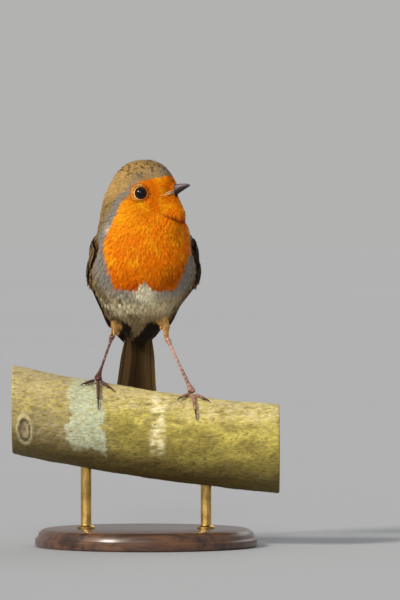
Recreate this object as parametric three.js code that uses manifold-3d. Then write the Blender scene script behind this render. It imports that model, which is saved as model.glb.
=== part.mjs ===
// European robin (Erithacus rubecula), life size, standing on a short cut branch over a display stand.
// Millimetres, +Z up. The origin is the centre of the stand's underside, and the bird faces -Y.
// The bird's own frame has X to its left, Y to its back and Z up, from the top of the branch's bark.
import * as THREE from "three";
import { LoftGeometry } from "three/addons/geometries/LoftGeometry.js";
import { mergeVertices } from "three/addons/utils/BufferGeometryUtils.js";
import Module from "manifold-3d";

const wasm = await Module();
wasm.setup();

const { degToRad, lerp, clamp, smoothstep } = THREE.MathUtils;
const vec = (x, y, z) => new THREE.Vector3(x, y, z);
const TURN = 2 * Math.PI;
const GAP = 0.3; // left between solids that meet

// ---- driving dimensions ----
const STAND = { baseRadius: 50, baseHeight: 8, edge: 1.6, rodRadius: 2.4, rodX: 27, rodSeat: 6 };
const PERCH = { length: 120, radius: 20.2, top: 71, slope: -0.148, sag: 0.00058 };
const BODY = { yaw: 6, lean: 32, centre: vec(-0.5, 4, 53) };
const HEAD = { yaw: 58, pitch: 14, roll: 0, centre: vec(-3.2, -7.7, 87.5) };
const EYE = { radius: 3.5, forward: 4.8, up: -0.75, sunk: 2.3 };
const BILL = { base: 12, tip: 25.2, halfWidth: 3, drop: 2, ridge: 2.8, keel: 3.4 };
const SPLIT = { neck: 0.62, head: 0.73, slit: 0.0025 }; // shares of the way from tail to crown
const TAIL = { root: vec(-0.5, 3.5, -28), lean: 27, length: 58, rootHalf: 5.5, tipHalf: 11.5, thick: 1.5 };
const WING = { wrist: 15, tip: -45, gap: 0.35, edge: 0.7, swell: 7, bulge: 0.8 };
const TARSUS = { radius: 0.72, ankleRadius: 1.25, footRadius: 1.7 };
const TOE = { start: 2.6, radius: 0.78, tipRadius: 0.6, clear: 0.15 };

// ---- making closed solids ----

// The volume that a mesh's faces sweep out from the origin, negative when they point towards it.
function signedVolume(geometry) {
  const at = geometry.attributes.position;
  const [a, b, c] = [vec(), vec(), vec()];
  let sum = 0;
  for (let i = 0; i < geometry.index.count; i += 3) {
    a.fromBufferAttribute(at, geometry.index.getX(i));
    b.fromBufferAttribute(at, geometry.index.getX(i + 1));
    c.fromBufferAttribute(at, geometry.index.getX(i + 2));
    sum += a.dot(b.cross(c)) / 6;
  }
  return sum;
}

// A closed loft through rings of points, with its faces pointing out.
function loft(sections) {
  const outward = signedVolume(new LoftGeometry(sections).center()) > 0;
  const rings = outward ? sections : sections.map((ring) => [...ring].reverse());
  return new LoftGeometry(rings, { capStart: true, capEnd: true });
}

function toSolid(geometry) {
  const bare = new THREE.BufferGeometry();
  bare.setAttribute("position", geometry.attributes.position);
  bare.setIndex(geometry.index);
  const merged = mergeVertices(bare, 1e-4);
  return new wasm.Manifold(
    new wasm.Mesh({
      numProp: 3,
      vertProperties: merged.attributes.position.array,
      triVerts: new Uint32Array(merged.index.array),
    }),
  );
}

function toGeometry(solid) {
  const mesh = solid.getMesh();
  const geometry = new THREE.BufferGeometry();
  geometry.setAttribute("position", new THREE.BufferAttribute(mesh.vertProperties, 3));
  geometry.setIndex(new THREE.BufferAttribute(mesh.triVerts, 1));
  geometry.computeVertexNormals();
  return geometry;
}

// The geometry less its cutters, keeping the largest piece.
function cut(geometry, ...cutters) {
  let solid = toSolid(geometry);
  for (const cutter of cutters) solid = solid.subtract(toSolid(cutter));
  const pieces = solid.decompose().sort((a, b) => b.volume() - a.volume());
  return toGeometry(pieces[0]);
}

// A round tube along a curve. radiusAt(t) gives its radius from start to end.
function tube(curve, radiusAt, steps, sides) {
  const sections = [];
  for (let i = 0; i <= steps; i++) {
    const t = i / steps;
    const tangent = curve.getTangent(t);
    const normal = vec().crossVectors(tangent, vec(1, 0, 0)).normalize();
    const across = vec().crossVectors(normal, tangent).normalize();
    const centre = curve.getPoint(t);
    const ring = [];
    for (let k = 0; k < sides; k++) {
      const angle = (TURN * k) / sides;
      ring.push(
        centre
          .clone()
          .addScaledVector(across, radiusAt(t) * Math.cos(angle))
          .addScaledVector(normal, radiusAt(t) * Math.sin(angle)),
      );
    }
    sections.push(ring);
  }
  return loft(sections);
}

const poseOf = (place, turn) =>
  new THREE.Matrix4().compose(place, new THREE.Quaternion().setFromEuler(turn), vec(1, 1, 1));

// A value that eases through stops [[t, value], ...].
function through(stops, t) {
  let i = 0;
  while (i < stops.length - 2 && t > stops[i + 1][0]) i++;
  const [[t0, v0], [t1, v1]] = [stops[i], stops[i + 1]];
  return lerp(v0, v1, clamp((t - t0) / (t1 - t0), 0, 1));
}

// ---- materials ----
const finish = (color, roughness = 0.85, metalness = 0) =>
  new THREE.MeshStandardMaterial({ color, roughness, metalness });
const LOOK = {
  olive: finish(0x7a6a45),
  orange: finish(0xe57a12),
  white: finish(0xc9bfa6),
  wing: finish(0x5a452c, 0.7),
  tail: finish(0x4a3621, 0.7),
  thigh: finish(0xb08a52),
  leg: finish(0x8a5f4c, 0.55),
  claw: finish(0x2e2620, 0.4),
  bill: finish(0x2a262b, 0.35),
  eye: finish(0x0b0806, 0.08),
  bark: finish(0x8f8a4a, 0.9),
  stand: finish(0x2f1f15, 0.4),
  rod: finish(0xb59a5b, 0.3, 1),
};

function part(name, geometry, material) {
  const mesh = new THREE.Mesh(geometry, material);
  mesh.name = name;
  return mesh;
}

// ---- the plumage's outline ----
// The body's outline over its feathers is a few rounded masses that run into each other.
// A mass has its centre and half-axes in the frame of the trunk or of the head.
const trunkPose = poseOf(BODY.centre, new THREE.Euler(degToRad(BODY.lean), 0, 0));
const headPose = poseOf(
  HEAD.centre,
  new THREE.Euler(degToRad(-HEAD.pitch), degToRad(HEAD.roll), degToRad(HEAD.yaw), "ZXY"),
);
const UPRIGHT = new THREE.Matrix4();
const MASSES = [
  { pose: trunkPose, centre: vec(-1.1, -6.8, 4.8), half: vec(22.4, 14.7, 23.3) }, // breast
  { pose: trunkPose, centre: vec(-1.3, -0.5, -11.5), half: vec(16.4, 15, 20) }, // belly
  { pose: trunkPose, centre: vec(0, 2.4, 5), half: vec(22.5, 15.5, 26.8) }, // back
  { pose: trunkPose, centre: vec(0, 3.5, -17), half: vec(11, 8, 18) }, // rump
  { pose: trunkPose, centre: vec(0, 1.9, -26.7), half: vec(4.5, 8.3, 14) }, // vent
  { pose: UPRIGHT, centre: vec(-2.6, -4.6, 72), half: vec(17.4, 15.4, 13) }, // neck
  { pose: UPRIGHT, centre: vec(-5, -2.7, 81), half: vec(14.6, 10, 14.5) }, // nape
  { pose: headPose, centre: vec(0, 0, 3.1), half: vec(12.3, 10.8, 11.4) }, // skull
  { pose: headPose, centre: vec(0, -6.6, 4), half: vec(5.4, 8.9, 8.6) }, // forehead
  { pose: headPose, centre: vec(0, -0.7, -5.2), half: vec(10.2, 11.2, 8.5) }, // cheeks
  { pose: headPose, centre: vec(0, -9.5, -12.4), half: vec(6.4, 9.8, 7.7) }, // throat
  { pose: headPose, centre: vec(0, -11.4, -0.1), half: vec(4.6, 5.4, 5.2) }, // lores
].map((mass) => ({ ...mass, inverse: mass.pose.clone().invert() }));
const MELT = 2.4; // how far the masses run into each other

function massDistance({ inverse, centre, half }, point) {
  const q = point.clone().applyMatrix4(inverse).sub(centre).divide(half);
  return (q.length() * (q.length() - 1)) / q.divide(half).length();
}

// Negative inside the plumage, about the distance to its outline outside.
function plumage(point, masses = MASSES) {
  const shares = masses.map((mass) => Math.exp(-massDistance(mass, point) / MELT));
  return -MELT * Math.log(shares.reduce((a, b) => a + b));
}

// Where a ray from inside leaves the plumage, `lift` above its outline.
function leave(from, direction, lift = 0, outline = plumage) {
  let [near, far] = [0, 60];
  for (let i = 0; i < 26; i++) {
    const middle = (near + far) / 2;
    if (outline(from.clone().addScaledVector(direction, middle)) < lift) near = middle;
    else far = middle;
  }
  return from.clone().addScaledVector(direction, near);
}

const inTrunk = (x, y, z) => vec(x, y, z).applyMatrix4(trunkPose);
const inHead = (left, forward, up) => vec(left, -forward, up).applyMatrix4(headPose);

// The line that the body's rings are strung on, from under the tail to the crown. It ends just inside.
const JUST_INSIDE = -0.15;
const down = inTrunk(0, 0, -1).sub(BODY.centre);
const SPINE = new THREE.CatmullRomCurve3([
  leave(inTrunk(0, 0, -28), down, JUST_INSIDE),
  inTrunk(0, 0, -28),
  inTrunk(0, 0, -8),
  inTrunk(0, -1, 12),
  vec(-1.4, -7, 74),
  vec(-3.2, -7.5, 87),
  leave(vec(-3.2, -6.5, 95), vec(0, 0, 1), JUST_INSIDE),
]);

function bodyRing(t, lift, sides) {
  const tangent = SPINE.getTangentAt(t);
  const back = vec(0, 1, 0).addScaledVector(tangent, -tangent.y).normalize();
  const left = vec().crossVectors(back, tangent);
  const centre = SPINE.getPointAt(t);
  return Array.from({ length: sides }, (_, k) => {
    const angle = (TURN * k) / sides;
    const out = back.clone().multiplyScalar(Math.cos(angle)).addScaledVector(left, Math.sin(angle));
    return leave(centre, out, lift);
  });
}

// The stretch of the body from one share of the spine to another. Rings crowd towards rounded ends.
function bodyStretch(from, to, steps, sides = 30, lift = 0) {
  const sections = [];
  for (let i = 0; i <= steps; i++) {
    let share = i / steps;
    if (from === 0) share **= 1.5;
    if (to === 1) share = 1 - (1 - share) ** 1.7;
    sections.push(bodyRing(lerp(from, to, share), lift, sides));
  }
  if (lift === 0) return loft(sections);
  const beyond = (t, reach) =>
    bodyRing(t, lift, sides).map((point) => point.addScaledVector(SPINE.getTangentAt(t), reach));
  return loft([beyond(from, -lift), ...sections, beyond(to, lift)]);
}

// ---- head ----
// Eyes stand a little proud of sockets in the head, and the bill is rooted in it.
function eyePlace(side) {
  const axis = inHead(side, 0, 0).sub(HEAD.centre);
  const lid = leave(inHead(0, EYE.forward, EYE.up), axis);
  return lid.addScaledVector(axis, -EYE.sunk);
}

function eyeball(side, grow = 0) {
  const ball = new THREE.SphereGeometry(EYE.radius + grow, 16, 10);
  return ball.translate(...eyePlace(side).toArray());
}

// Half the width of the bill, and the heights of its ridge, cutting edge and keel, from root to tip.
const billHalf = (t) => BILL.halfWidth * (1 - t) ** 0.8 * (1 - 0.35 * t) + 0.16;
const billRidge = (t) => -BILL.drop + 0.2 + BILL.ridge * Math.sqrt(1 - t);
const billEdge = (t) => -BILL.drop - 1.2 * (1 - t) ** 2;
const billKeel = (t) => billEdge(t) - 0.25 - BILL.keel * (1 - t);

function mandible(upper, grow = 0) {
  const [steps, sides] = [8, 10];
  const sections = [];
  for (let i = 0; i <= steps; i++) {
    const t = i / steps;
    const forward = lerp(BILL.base - grow, BILL.tip, t);
    const edge = billEdge(t) + (upper ? GAP / 2 - grow : grow - GAP / 2);
    const peak = upper ? billRidge(t) + grow : billKeel(t) - grow;
    const ring = [];
    for (let k = 0; k < sides; k++) {
      const angle = (Math.PI * k) / (sides - 1);
      const across = (billHalf(t) + grow) * Math.cos(angle);
      ring.push(inHead(across, forward, lerp(edge, peak, Math.sin(angle) ** 0.85)));
    }
    sections.push(ring);
  }
  return loft(sections);
}

function head() {
  const whole = bodyStretch(SPLIT.head + SPLIT.slit, 1, 11);
  const sockets = [eyeball(1, GAP), eyeball(-1, GAP)];
  return cut(whole, ...sockets, mandible(true, GAP), mandible(false, GAP));
}

// ---- wings ----
// A folded wing is a shell that lies on the body and runs on past the rump. It is laid out in the trunk's
// frame by its share of the way from wrist to tip and by an angle from the middle of the back.
const LOWER_EDGE = [[0, 84], [0.15, 98], [0.35, 102], [0.55, 96], [0.75, 82], [0.9, 64], [1, 50]];
const UPPER_EDGE = [[0, 62], [0.2, 42], [0.4, 30], [0.6, 22], [0.8, 14], [1, 12]];
const UNDERWING = { centre: vec(0, 3, -12), half: vec(15.5, 11, 40), inverse: trunkPose.clone().invert() };
const wingBed = (point) => plumage(point, [...MASSES, UNDERWING]);

function wingPoint(side, along, across, lift) {
  const angle = degToRad(lerp(through(LOWER_EDGE, along), through(UPPER_EDGE, along), across));
  const reach = lerp(WING.wrist, WING.tip, along);
  const out = inTrunk(side * Math.sin(angle), Math.cos(angle), 0).sub(BODY.centre);
  return leave(inTrunk(0, 0, reach), out, lift, wingBed);
}

// A stretch of the shell. thickness(along, across) is how far its outer face stands off its inner one.
function wingPlate(side, [from, to], [low, high], thickness) {
  const [steps, ribs] = [9, 6];
  const sections = [];
  for (let i = 0; i <= steps; i++) {
    const along = lerp(from, to, i / steps);
    const outer = [];
    const inner = [];
    for (let k = 0; k <= ribs; k++) {
      const across = lerp(low, high, k / ribs);
      outer.push(wingPoint(side, along, across, WING.gap + thickness(along, k / ribs)));
      inner.unshift(wingPoint(side, along, across, WING.gap));
    }
    sections.push([...outer, ...inner]);
  }
  return loft(sections);
}

// The coverts swell towards their rear edge, and end there in a step down to the thin flight feathers.
function wing(side, name) {
  const rim = (k) => Math.sin(Math.PI * lerp(0.14, 0.86, k));
  const coverts = (along, k) => WING.edge + WING.swell * along * Math.sqrt(rim(k));
  const quills = (along, k) => WING.edge + WING.bulge * rim(k);
  return [
    part(`${name}_coverts`, wingPlate(side, [0.01, 0.35], [0, 1], coverts), LOOK.olive),
    part(`${name}_secondaries`, wingPlate(side, [0.36, 0.84], [0.37, 1], quills), LOOK.wing),
    part(`${name}_primaries`, wingPlate(side, [0.36, 1], [0, 0.34], quills), LOOK.wing),
  ];
}

// ---- tail ----
// Twelve feathers fanned side by side, the middle pair on top: each pair outwards lies lower.
const tailPose = poseOf(inTrunk(...TAIL.root), new THREE.Euler(degToRad(TAIL.lean), 0, 0));

function tail() {
  const [feathers, perFeather, steps] = [12, 2, 5];
  const stations = feathers * perFeather;
  const sections = [];
  for (let i = 0; i <= stations; i++) {
    const w = (2 * i) / stations - 1;
    const fromShaft = Math.abs(((i % perFeather) / perFeather) * 2 - 1);
    const tip = TAIL.length - 1.6 * (1 - Math.abs(w)) - 1.3 * fromShaft ** 2 - 2 * w ** 8;
    const at = (t, lift) => {
      const half = lerp(TAIL.rootHalf, TAIL.tipHalf, t ** 1.2);
      const arch = -2.2 * w * w * (0.4 + t);
      return vec(w * half, arch + lift, -t * tip).applyMatrix4(tailPose);
    };
    const upper = [];
    const under = [];
    for (let k = 0; k <= steps; k++) {
      upper.push(at(k / steps, TAIL.thick / 2));
      under.unshift(at(k / steps, -TAIL.thick / 2));
    }
    sections.push([...upper, ...under]);
  }
  return loft(sections);
}

// ---- perch and stand ----
const barkAxis = (x) => PERCH.top - PERCH.radius + PERCH.slope * x + PERCH.sag * x * x;

// A point on the bark, at an angle from its top towards the bird's front, `lift` off the bark.
// It is in the bird's own frame, like the legs.
function onBark(x, angle, lift) {
  const reach = PERCH.radius + lift;
  const turn = degToRad(angle);
  return vec(x, -reach * Math.sin(turn), barkAxis(x) - PERCH.top + reach * Math.cos(turn));
}

const rodTop = (x) => barkAxis(x) - PERCH.radius + STAND.rodSeat;

function rod(x, grow = 0) {
  const [from, to] = [STAND.baseHeight - STAND.rodSeat - grow, rodTop(x) + grow];
  const shaft = new THREE.CylinderGeometry(STAND.rodRadius + grow, STAND.rodRadius + grow, to - from, 16);
  return shaft.rotateX(Math.PI / 2).translate(x, 0, (from + to) / 2);
}

function standBase() {
  const { baseRadius: r, baseHeight: h, edge } = STAND;
  const profile = [[0, 0], [r, 0], [r, h - edge], [r - edge, h], [0, h]];
  const disc = new THREE.LatheGeometry(profile.map(([x, y]) => new THREE.Vector2(x, y)), 36);
  return cut(disc.rotateX(Math.PI / 2), rod(-STAND.rodX, GAP / 2), rod(STAND.rodX, GAP / 2));
}

function perch() {
  const [steps, sides] = [8, 36];
  const sections = [];
  for (let i = 0; i <= steps; i++) {
    const x = lerp(-0.5, 0.5, i / steps) * PERCH.length;
    const ring = Array.from({ length: sides }, (_, k) => onBark(x, (360 * k) / sides, 0));
    sections.push(ring.map((point) => point.setZ(point.z + PERCH.top)));
  }
  return cut(loft(sections), rod(-STAND.rodX, GAP / 2), rod(STAND.rodX, GAP / 2));
}

// ---- legs ----
const LEGS = [
  {
    side: "left",
    hip: vec(8, 0, 36),
    ankle: vec(9.5, 3, 22.5),
    foot: { x: 20.5, angle: 8, lift: 2.2 },
    toes: {
      hallux: { x: 18.5, angle: -31, claw: 0.4 },
      inner: { x: 14.1, angle: 33, claw: 0.3 },
      middle: { x: 22.8, angle: 62, claw: 0.26 },
      outer: { x: 28.6, angle: 27, claw: 0.28 },
    },
  },
  {
    side: "right",
    hip: vec(-13, 2, 38),
    ankle: vec(-15.2, 10.5, 23.6),
    foot: { x: -21.6, angle: 12, lift: 2 },
    toes: {
      hallux: { x: -19.5, angle: -26, claw: 0.4 },
      inner: { x: -14.2, angle: 34, claw: 0.3 },
      middle: { x: -21.2, angle: 67, claw: 0.26 },
      outer: { x: -29.2, angle: 34, claw: 0.28 },
    },
  },
];

function thigh({ hip, ankle }, cutter) {
  const end = ankle.clone().lerp(hip, 0.12);
  return cut(tube(new THREE.LineCurve3(hip, end), (t) => lerp(3.4, 1.15, t ** 0.7), 5, 12), cutter);
}

function tarsus({ ankle, foot }) {
  const joint = onBark(foot.x, foot.angle, foot.lift);
  const swell = (t) => (TARSUS.ankleRadius - TARSUS.radius) * (1 - smoothstep(t, 0, 0.22));
  const spread = (t) => (TARSUS.footRadius - TARSUS.radius) * smoothstep(t, 0.86, 0.99);
  return tube(new THREE.LineCurve3(ankle, joint), (t) => TARSUS.radius + swell(t) + spread(t), 12, 8);
}

// A toe lies on the bark from beside the foot's joint out to its claw, which stands clear of it in a hook.
function toe(foot, { x, angle, claw }) {
  const at = (t, lift) => onBark(lerp(foot.x, x, t), lerp(foot.angle, angle, t), lift);
  const length = at(0, 0).distanceTo(at(1, 0));
  const from = TOE.start / length;
  const knuckle = 1 - claw;
  const radius = (t) => lerp(TOE.radius, TOE.tipRadius, t);
  const pad = new THREE.CatmullRomCurve3(
    [0, 0.3, 0.65, 1].map((t) => at(lerp(from, knuckle - 0.01, t), radius(t) + TOE.clear)),
  );
  const hook = new THREE.CatmullRomCurve3(
    [[0, 0.7], [0.3, 1], [0.65, 1], [1, 0.4]].map(([t, lift]) => at(lerp(knuckle + 0.015, 1, t), lift)),
  );
  return {
    pad: tube(pad, (t) => radius(t) * (1 + 0.08 * Math.cos(3 * TURN * t)), 7, 7),
    hook: tube(hook, (t) => lerp(0.5, 0.25, t), 5, 6),
  };
}

// ---- the whole ----
const group = new THREE.Group();
group.add(part("stand_base", standBase(), LOOK.stand));
group.add(part("stand_rod_left", rod(STAND.rodX), LOOK.rod));
group.add(part("stand_rod_right", rod(-STAND.rodX), LOOK.rod));
group.add(part("perch", perch(), LOOK.bark));

const bird = new THREE.Group();
bird.position.z = PERCH.top;
group.add(bird);
const feathered = new THREE.Group();
feathered.rotation.z = degToRad(BODY.yaw);
bird.add(feathered);

const trunkCutter = bodyStretch(0, 1, 24, 30, GAP);
feathered.add(part("trunk", bodyStretch(0, SPLIT.neck - SPLIT.slit, 18), LOOK.white));
feathered.add(part("neck", bodyStretch(SPLIT.neck + SPLIT.slit, SPLIT.head - SPLIT.slit, 4), LOOK.orange));
feathered.add(part("head", head(), LOOK.orange));
feathered.add(part("eye_left", eyeball(1), LOOK.eye), part("eye_right", eyeball(-1), LOOK.eye));
feathered.add(part("bill_upper", mandible(true), LOOK.bill));
feathered.add(part("bill_lower", mandible(false), LOOK.bill));
feathered.add(...wing(1, "wing_left"), ...wing(-1, "wing_right"));
feathered.add(part("tail", cut(tail(), trunkCutter), LOOK.tail));

trunkCutter.rotateZ(degToRad(BODY.yaw));
for (const leg of LEGS) {
  bird.add(part(`thigh_${leg.side}`, thigh(leg, trunkCutter), LOOK.thigh));
  bird.add(part(`tarsus_${leg.side}`, tarsus(leg), LOOK.leg));
  for (const [name, place] of Object.entries(leg.toes)) {
    const { pad, hook } = toe(leg.foot, place);
    bird.add(part(`toe_${name}_${leg.side}`, pad, LOOK.leg));
    bird.add(part(`claw_${name}_${leg.side}`, hook, LOOK.claw));
  }
}

export default group;
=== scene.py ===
"""The looks of a life-size European robin that grips a cut branch on a display stand.

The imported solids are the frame. One skin lies under them by the depth of the coat, and separate feathers
grow out of it along the lie of the plumage. Wings and tail are laid out quill by quill on their solids.
"""

import math

import bmesh
import bpy
import numpy as np
from mathutils import Matrix, Vector, noise
from mathutils.bvhtree import BVHTree
from mathutils.kdtree import KDTree


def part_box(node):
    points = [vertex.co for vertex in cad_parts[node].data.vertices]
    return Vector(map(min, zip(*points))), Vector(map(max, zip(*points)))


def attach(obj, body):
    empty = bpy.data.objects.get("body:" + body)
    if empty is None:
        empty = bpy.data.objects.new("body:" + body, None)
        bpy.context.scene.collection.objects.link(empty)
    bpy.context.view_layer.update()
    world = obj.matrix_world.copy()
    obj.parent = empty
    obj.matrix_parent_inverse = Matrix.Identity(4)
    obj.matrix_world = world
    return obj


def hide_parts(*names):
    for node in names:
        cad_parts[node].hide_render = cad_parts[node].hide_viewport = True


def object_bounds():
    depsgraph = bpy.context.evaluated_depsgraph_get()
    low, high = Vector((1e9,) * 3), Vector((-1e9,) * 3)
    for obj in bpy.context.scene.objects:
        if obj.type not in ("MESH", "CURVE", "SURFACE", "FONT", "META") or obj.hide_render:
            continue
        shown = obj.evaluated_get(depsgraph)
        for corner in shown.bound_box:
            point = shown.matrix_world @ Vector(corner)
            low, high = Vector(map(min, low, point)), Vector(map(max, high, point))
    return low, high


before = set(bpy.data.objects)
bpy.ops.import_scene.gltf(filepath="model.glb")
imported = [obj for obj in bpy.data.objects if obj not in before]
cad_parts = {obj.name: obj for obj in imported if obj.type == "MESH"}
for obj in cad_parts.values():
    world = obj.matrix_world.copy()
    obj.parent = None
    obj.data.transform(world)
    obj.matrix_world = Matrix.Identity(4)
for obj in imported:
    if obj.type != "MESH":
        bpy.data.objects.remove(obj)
cad_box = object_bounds()

MM = 0.001
DOWN = Vector((0, 0, -1))
SIDES = ("left", "right")
BILL = ("bill_upper", "bill_lower")
COVERTS = ("wing_left_coverts", "wing_right_coverts")
WING_PARTS = ("coverts", "secondaries", "primaries")
rng = np.random.default_rng(7)


# ---- measures taken from the frame ----

def centre_of(node):
    low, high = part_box(node)
    return (low + high) / 2


def points_of(node):
    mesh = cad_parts[node].data
    points = np.empty(len(mesh.vertices) * 3, np.float32)
    mesh.vertices.foreach_get("co", points)
    return points.reshape(-1, 3).astype(float)


def tree_of(*nodes):
    """A tree for finding the nearest point of these nodes and where rays meet them."""
    points = []
    faces = []
    for node in nodes:
        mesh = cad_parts[node].data
        start = len(points)
        points += [v.co.copy() for v in mesh.vertices]
        faces += [[start + i for i in face.vertices] for face in mesh.polygons]
    return BVHTree.FromPolygons(points, faces)


def pose(origin, left, up):
    """The matrix of a frame with its x to the bird's left, its y to the bird's back and its z up."""
    back = up.cross(left).normalized()
    axes = Matrix((left, back, left.cross(back))).transposed().to_4x4()
    return Matrix.Translation(origin) @ axes


# The head's frame: its origin is midway between the eyes, and it looks along the bill.
BILL_DROOP = math.radians(3.65)  # the bill's tip lies this far below the head's level
BETWEEN_EYES = (centre_of("eye_left") + centre_of("eye_right")) / 2
HEAD_LEFT = (centre_of("eye_left") - centre_of("eye_right")).normalized()
BILL_TIP = max((Vector(p) for p in points_of("bill_upper")), key=lambda p: (p - BETWEEN_EYES).length)
HEAD_UP = (BILL_TIP - BETWEEN_EYES).cross(HEAD_LEFT).normalized()
HEAD_UP = Matrix.Rotation(BILL_DROOP, 3, HEAD_LEFT) @ HEAD_UP
HEAD = pose(BETWEEN_EYES, HEAD_LEFT, HEAD_UP)

# The trunk's frame: z runs up the trunk towards the neck.
BODY_YAW = math.radians(6)
BODY_LEAN = math.radians(32)
HEART = centre_of("trunk") + Vector((0, 0, 6.8)) * MM
TRUNK_LEFT = Vector((math.cos(BODY_YAW), math.sin(BODY_YAW), 0))
TRUNK_UP = Matrix.Rotation(BODY_LEAN, 3, TRUNK_LEFT) @ Vector((0, 0, 1))
TRUNK = pose(HEART, TRUNK_LEFT, TRUNK_UP)

NECK_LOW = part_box("neck")[0].z + 10 * MM  # below this the plumage is the trunk's
NECK_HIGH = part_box("neck")[1].z + 6 * MM  # above this it is the head's
BILL_ROOT = HEAD @ (Vector((0, -9.5, -1.5)) * MM)

EYES = {side: centre_of(f"eye_{side}") for side in SIDES}
EYE_RADIUS = (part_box("eye_left")[1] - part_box("eye_left")[0]).x / 2
ORBIT = 4.6  # mm from the eye's middle, where the face is level round the eye
EYE_FORWARD = math.radians(9)  # how much further ahead the eye looks than the face round it


def eye_aim(side):
    """Which way an eye's opening faces: nearly square to the face round it."""
    outward = HEAD_LEFT if side == "left" else -HEAD_LEFT
    across = outward.orthogonal().normalized()
    over_it = outward.cross(across)
    head = tree_of("head")
    ring = []
    for turn in np.linspace(0, 2 * math.pi, 24, endpoint=False):
        spoke = (across * math.cos(turn) + over_it * math.sin(turn)) * ORBIT * MM
        ring.append(head.ray_cast(EYES[side] + spoke + outward * 0.03, -outward)[0])
    ring = np.array([place for place in ring if place])
    normal = Vector(np.linalg.svd(ring - ring.mean(0), full_matrices=False)[2][2])
    normal = normal if normal.dot(outward) > 0 else -normal
    turn = -EYE_FORWARD if side == "left" else EYE_FORWARD
    return Matrix.Rotation(turn, 3, HEAD_UP) @ normal


EYE_AIM = {side: eye_aim(side) for side in SIDES}
EYE_SINK = 0.7  # mm that the eyeballs lie deeper than their solids
EYES = {side: EYES[side] - EYE_AIM[side] * EYE_SINK * MM for side in SIDES}


def within(pose_matrix, points):
    """World points in a frame's own coordinates, in millimetres."""
    inverse = np.array(pose_matrix.inverted())
    return (points @ inverse[:3, :3].T + inverse[:3, 3]) / MM


def direction(pose_matrix, x, y, z):
    return np.array(pose_matrix.to_3x3() @ Vector((x, y, z)))


def ease(value, low, high):
    """0 below low, 1 above high, and smooth between."""
    t = np.clip((value - low) / (high - low), 0, 1)
    return t * t * (3 - 2 * t)


def fade(value, low, high):
    """1 below low, 0 above high, and smooth between."""
    return 1 - ease(value, low, high)


def blend(a, b, share):
    return a + (b - a) * share


def unit(vectors):
    return vectors / np.maximum(np.linalg.norm(vectors, axis=-1, keepdims=True), 1e-12)


def distance_to(points, place):
    return np.linalg.norm(points - np.array(place), axis=1) / MM


def from_nearer_eye(points):
    return np.minimum(*(distance_to(points, EYES[side]) for side in SIDES))


def gap_to(points, reach, *nodes):
    """How far points lie from the surface of these nodes, in mm and up to a reach."""
    tree = tree_of(*nodes)
    return np.array([tree.find_nearest(Vector(p), reach * MM)[3] or reach * MM for p in points]) / MM


def round_trunk(in_trunk):
    """Degrees round the trunk from the middle of its front: 0 there, 180 in the middle of the back."""
    return np.degrees(np.arctan2(np.abs(in_trunk[:, 0]), -in_trunk[:, 1]))


# ---- colours and markings ----

def tint(red, green, blue):
    """A colour given on the 0-255 scale of a screen, as the linear values that shading uses."""
    scaled = np.array((red, green, blue)) / 255
    return np.where(scaled <= 0.04045, scaled / 12.92, ((scaled + 0.055) / 1.055) ** 2.4)


ORANGE = tint(240, 126, 0)
ORANGE_DEEP = tint(206, 86, 0)
ORANGE_PALE = tint(255, 176, 16)
# painted shade in the throat's fold, and in part in the chestnut patches
SHADE_RED = tint(108, 26, 2)
EYE_RING = tint(255, 222, 132)
BLUE_GREY = tint(144, 139, 134)
OLIVE = tint(164, 134, 84)
OLIVE_DARK = tint(96, 74, 44)
WHITE = tint(250, 231, 186)
BUFF_GREY = tint(148, 128, 90)
FLANK_DARK = tint(78, 59, 34)
# painted shade in dark brown beside the vent
VENT_SHADE_BROWN = tint(42, 30, 18)
BELLY_SHADE = tint(104, 80, 46)
THIGH_BUFF = tint(234, 182, 110)
CROWN_SIDE = tint(222, 178, 106)
WING_WARM = tint(128, 88, 50)
WING_BUFF = tint(196, 156, 100)
QUILL_BROWN = tint(66, 48, 34)
QUILL_EDGE = tint(150, 108, 62)
CLEAN_WHITE = tint(255, 243, 208)

# How far round the orange of the breast reaches: heights over the heart in mm, the way that its middle
# faces, and the angle from there to its edge.
BIB_RISE = [-8, -4, 1, 4.5, 8, 12, 16, 20, 24, 29]
BIB_MIDDLE = [3, 4, 5, 6, 8, 10.5, 13, 22, 38, 58]
BIB_REACH = [40, 42, 44, 47, 54, 61, 68, 76, 96, 118]
BIB_LOWER_EDGE = 1.8  # height along the trunk, mm
NOTCH = {"height": 5.0, "x": -1.7, "wide": 2.9}  # the white of the belly that rises into the lower edge
# Where the orange ends on the head: heights over the eyes at distances ahead of them.
CHEEK_FORWARD = [-18, -14.8, -14, -11.2, -4.9, -3.3, 2.3, 4.6, 8.4, 12]
CHEEK_HEIGHT = [-20, -14.2, -9.9, -4.9, -1.1, 4.0, 5.4, 5.8, 6.2, 6.5]
MM_PER_DEGREE = 0.28  # round the breast
WING_REACH = 6  # mm within which the wings' coverts and the body share the plumage

# Spots of colour: the middle of each in the trunk's or the head's frame, and its radius, in mm.
SMUDGES_AND_SHADE = (
    ((-7.6, -16.5, -2.5), 3.6),
    ((9.5, -15.5, -4.0), 3.0),
    ((-12.5, -9, -15), 5),
    # the last spot is painted shade, low on the bird's left flank away from the key light
    ((13, -11, -16), 7),
)
BELLY_WHITE = ((NOTCH["x"], -19, 0), 6.5)
RUFFLED = ((-9, -14, -10), 9)  # where the belly's feathers part
# Chestnut patches low on the bird's left side: partly the orange's own deeper tone, partly painted shade
# away from the key light.
CHESTNUT_AND_SHADE = (((10, -18, 8), 4.5), ((17, -13, 9), 4.5))
CHEEKS = (((-14, 10, -9), 9), ((14, 10, -9), 9))
SPARK = ((-18.4, -5, 24.5), 2.0)  # the white fleck over the wing's bend

# The pale wedge of feathers under the tail's root: its half width by height over the floor, in mm.
WEDGE_HEIGHT = [94.0, 97.2, 100, 102.6]
WEDGE_HALF = [0.1, 1.3, 2.7, 4.8]
WEDGE_X = -2.9
WEDGE_TOP = (100.6, 103.2)


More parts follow.
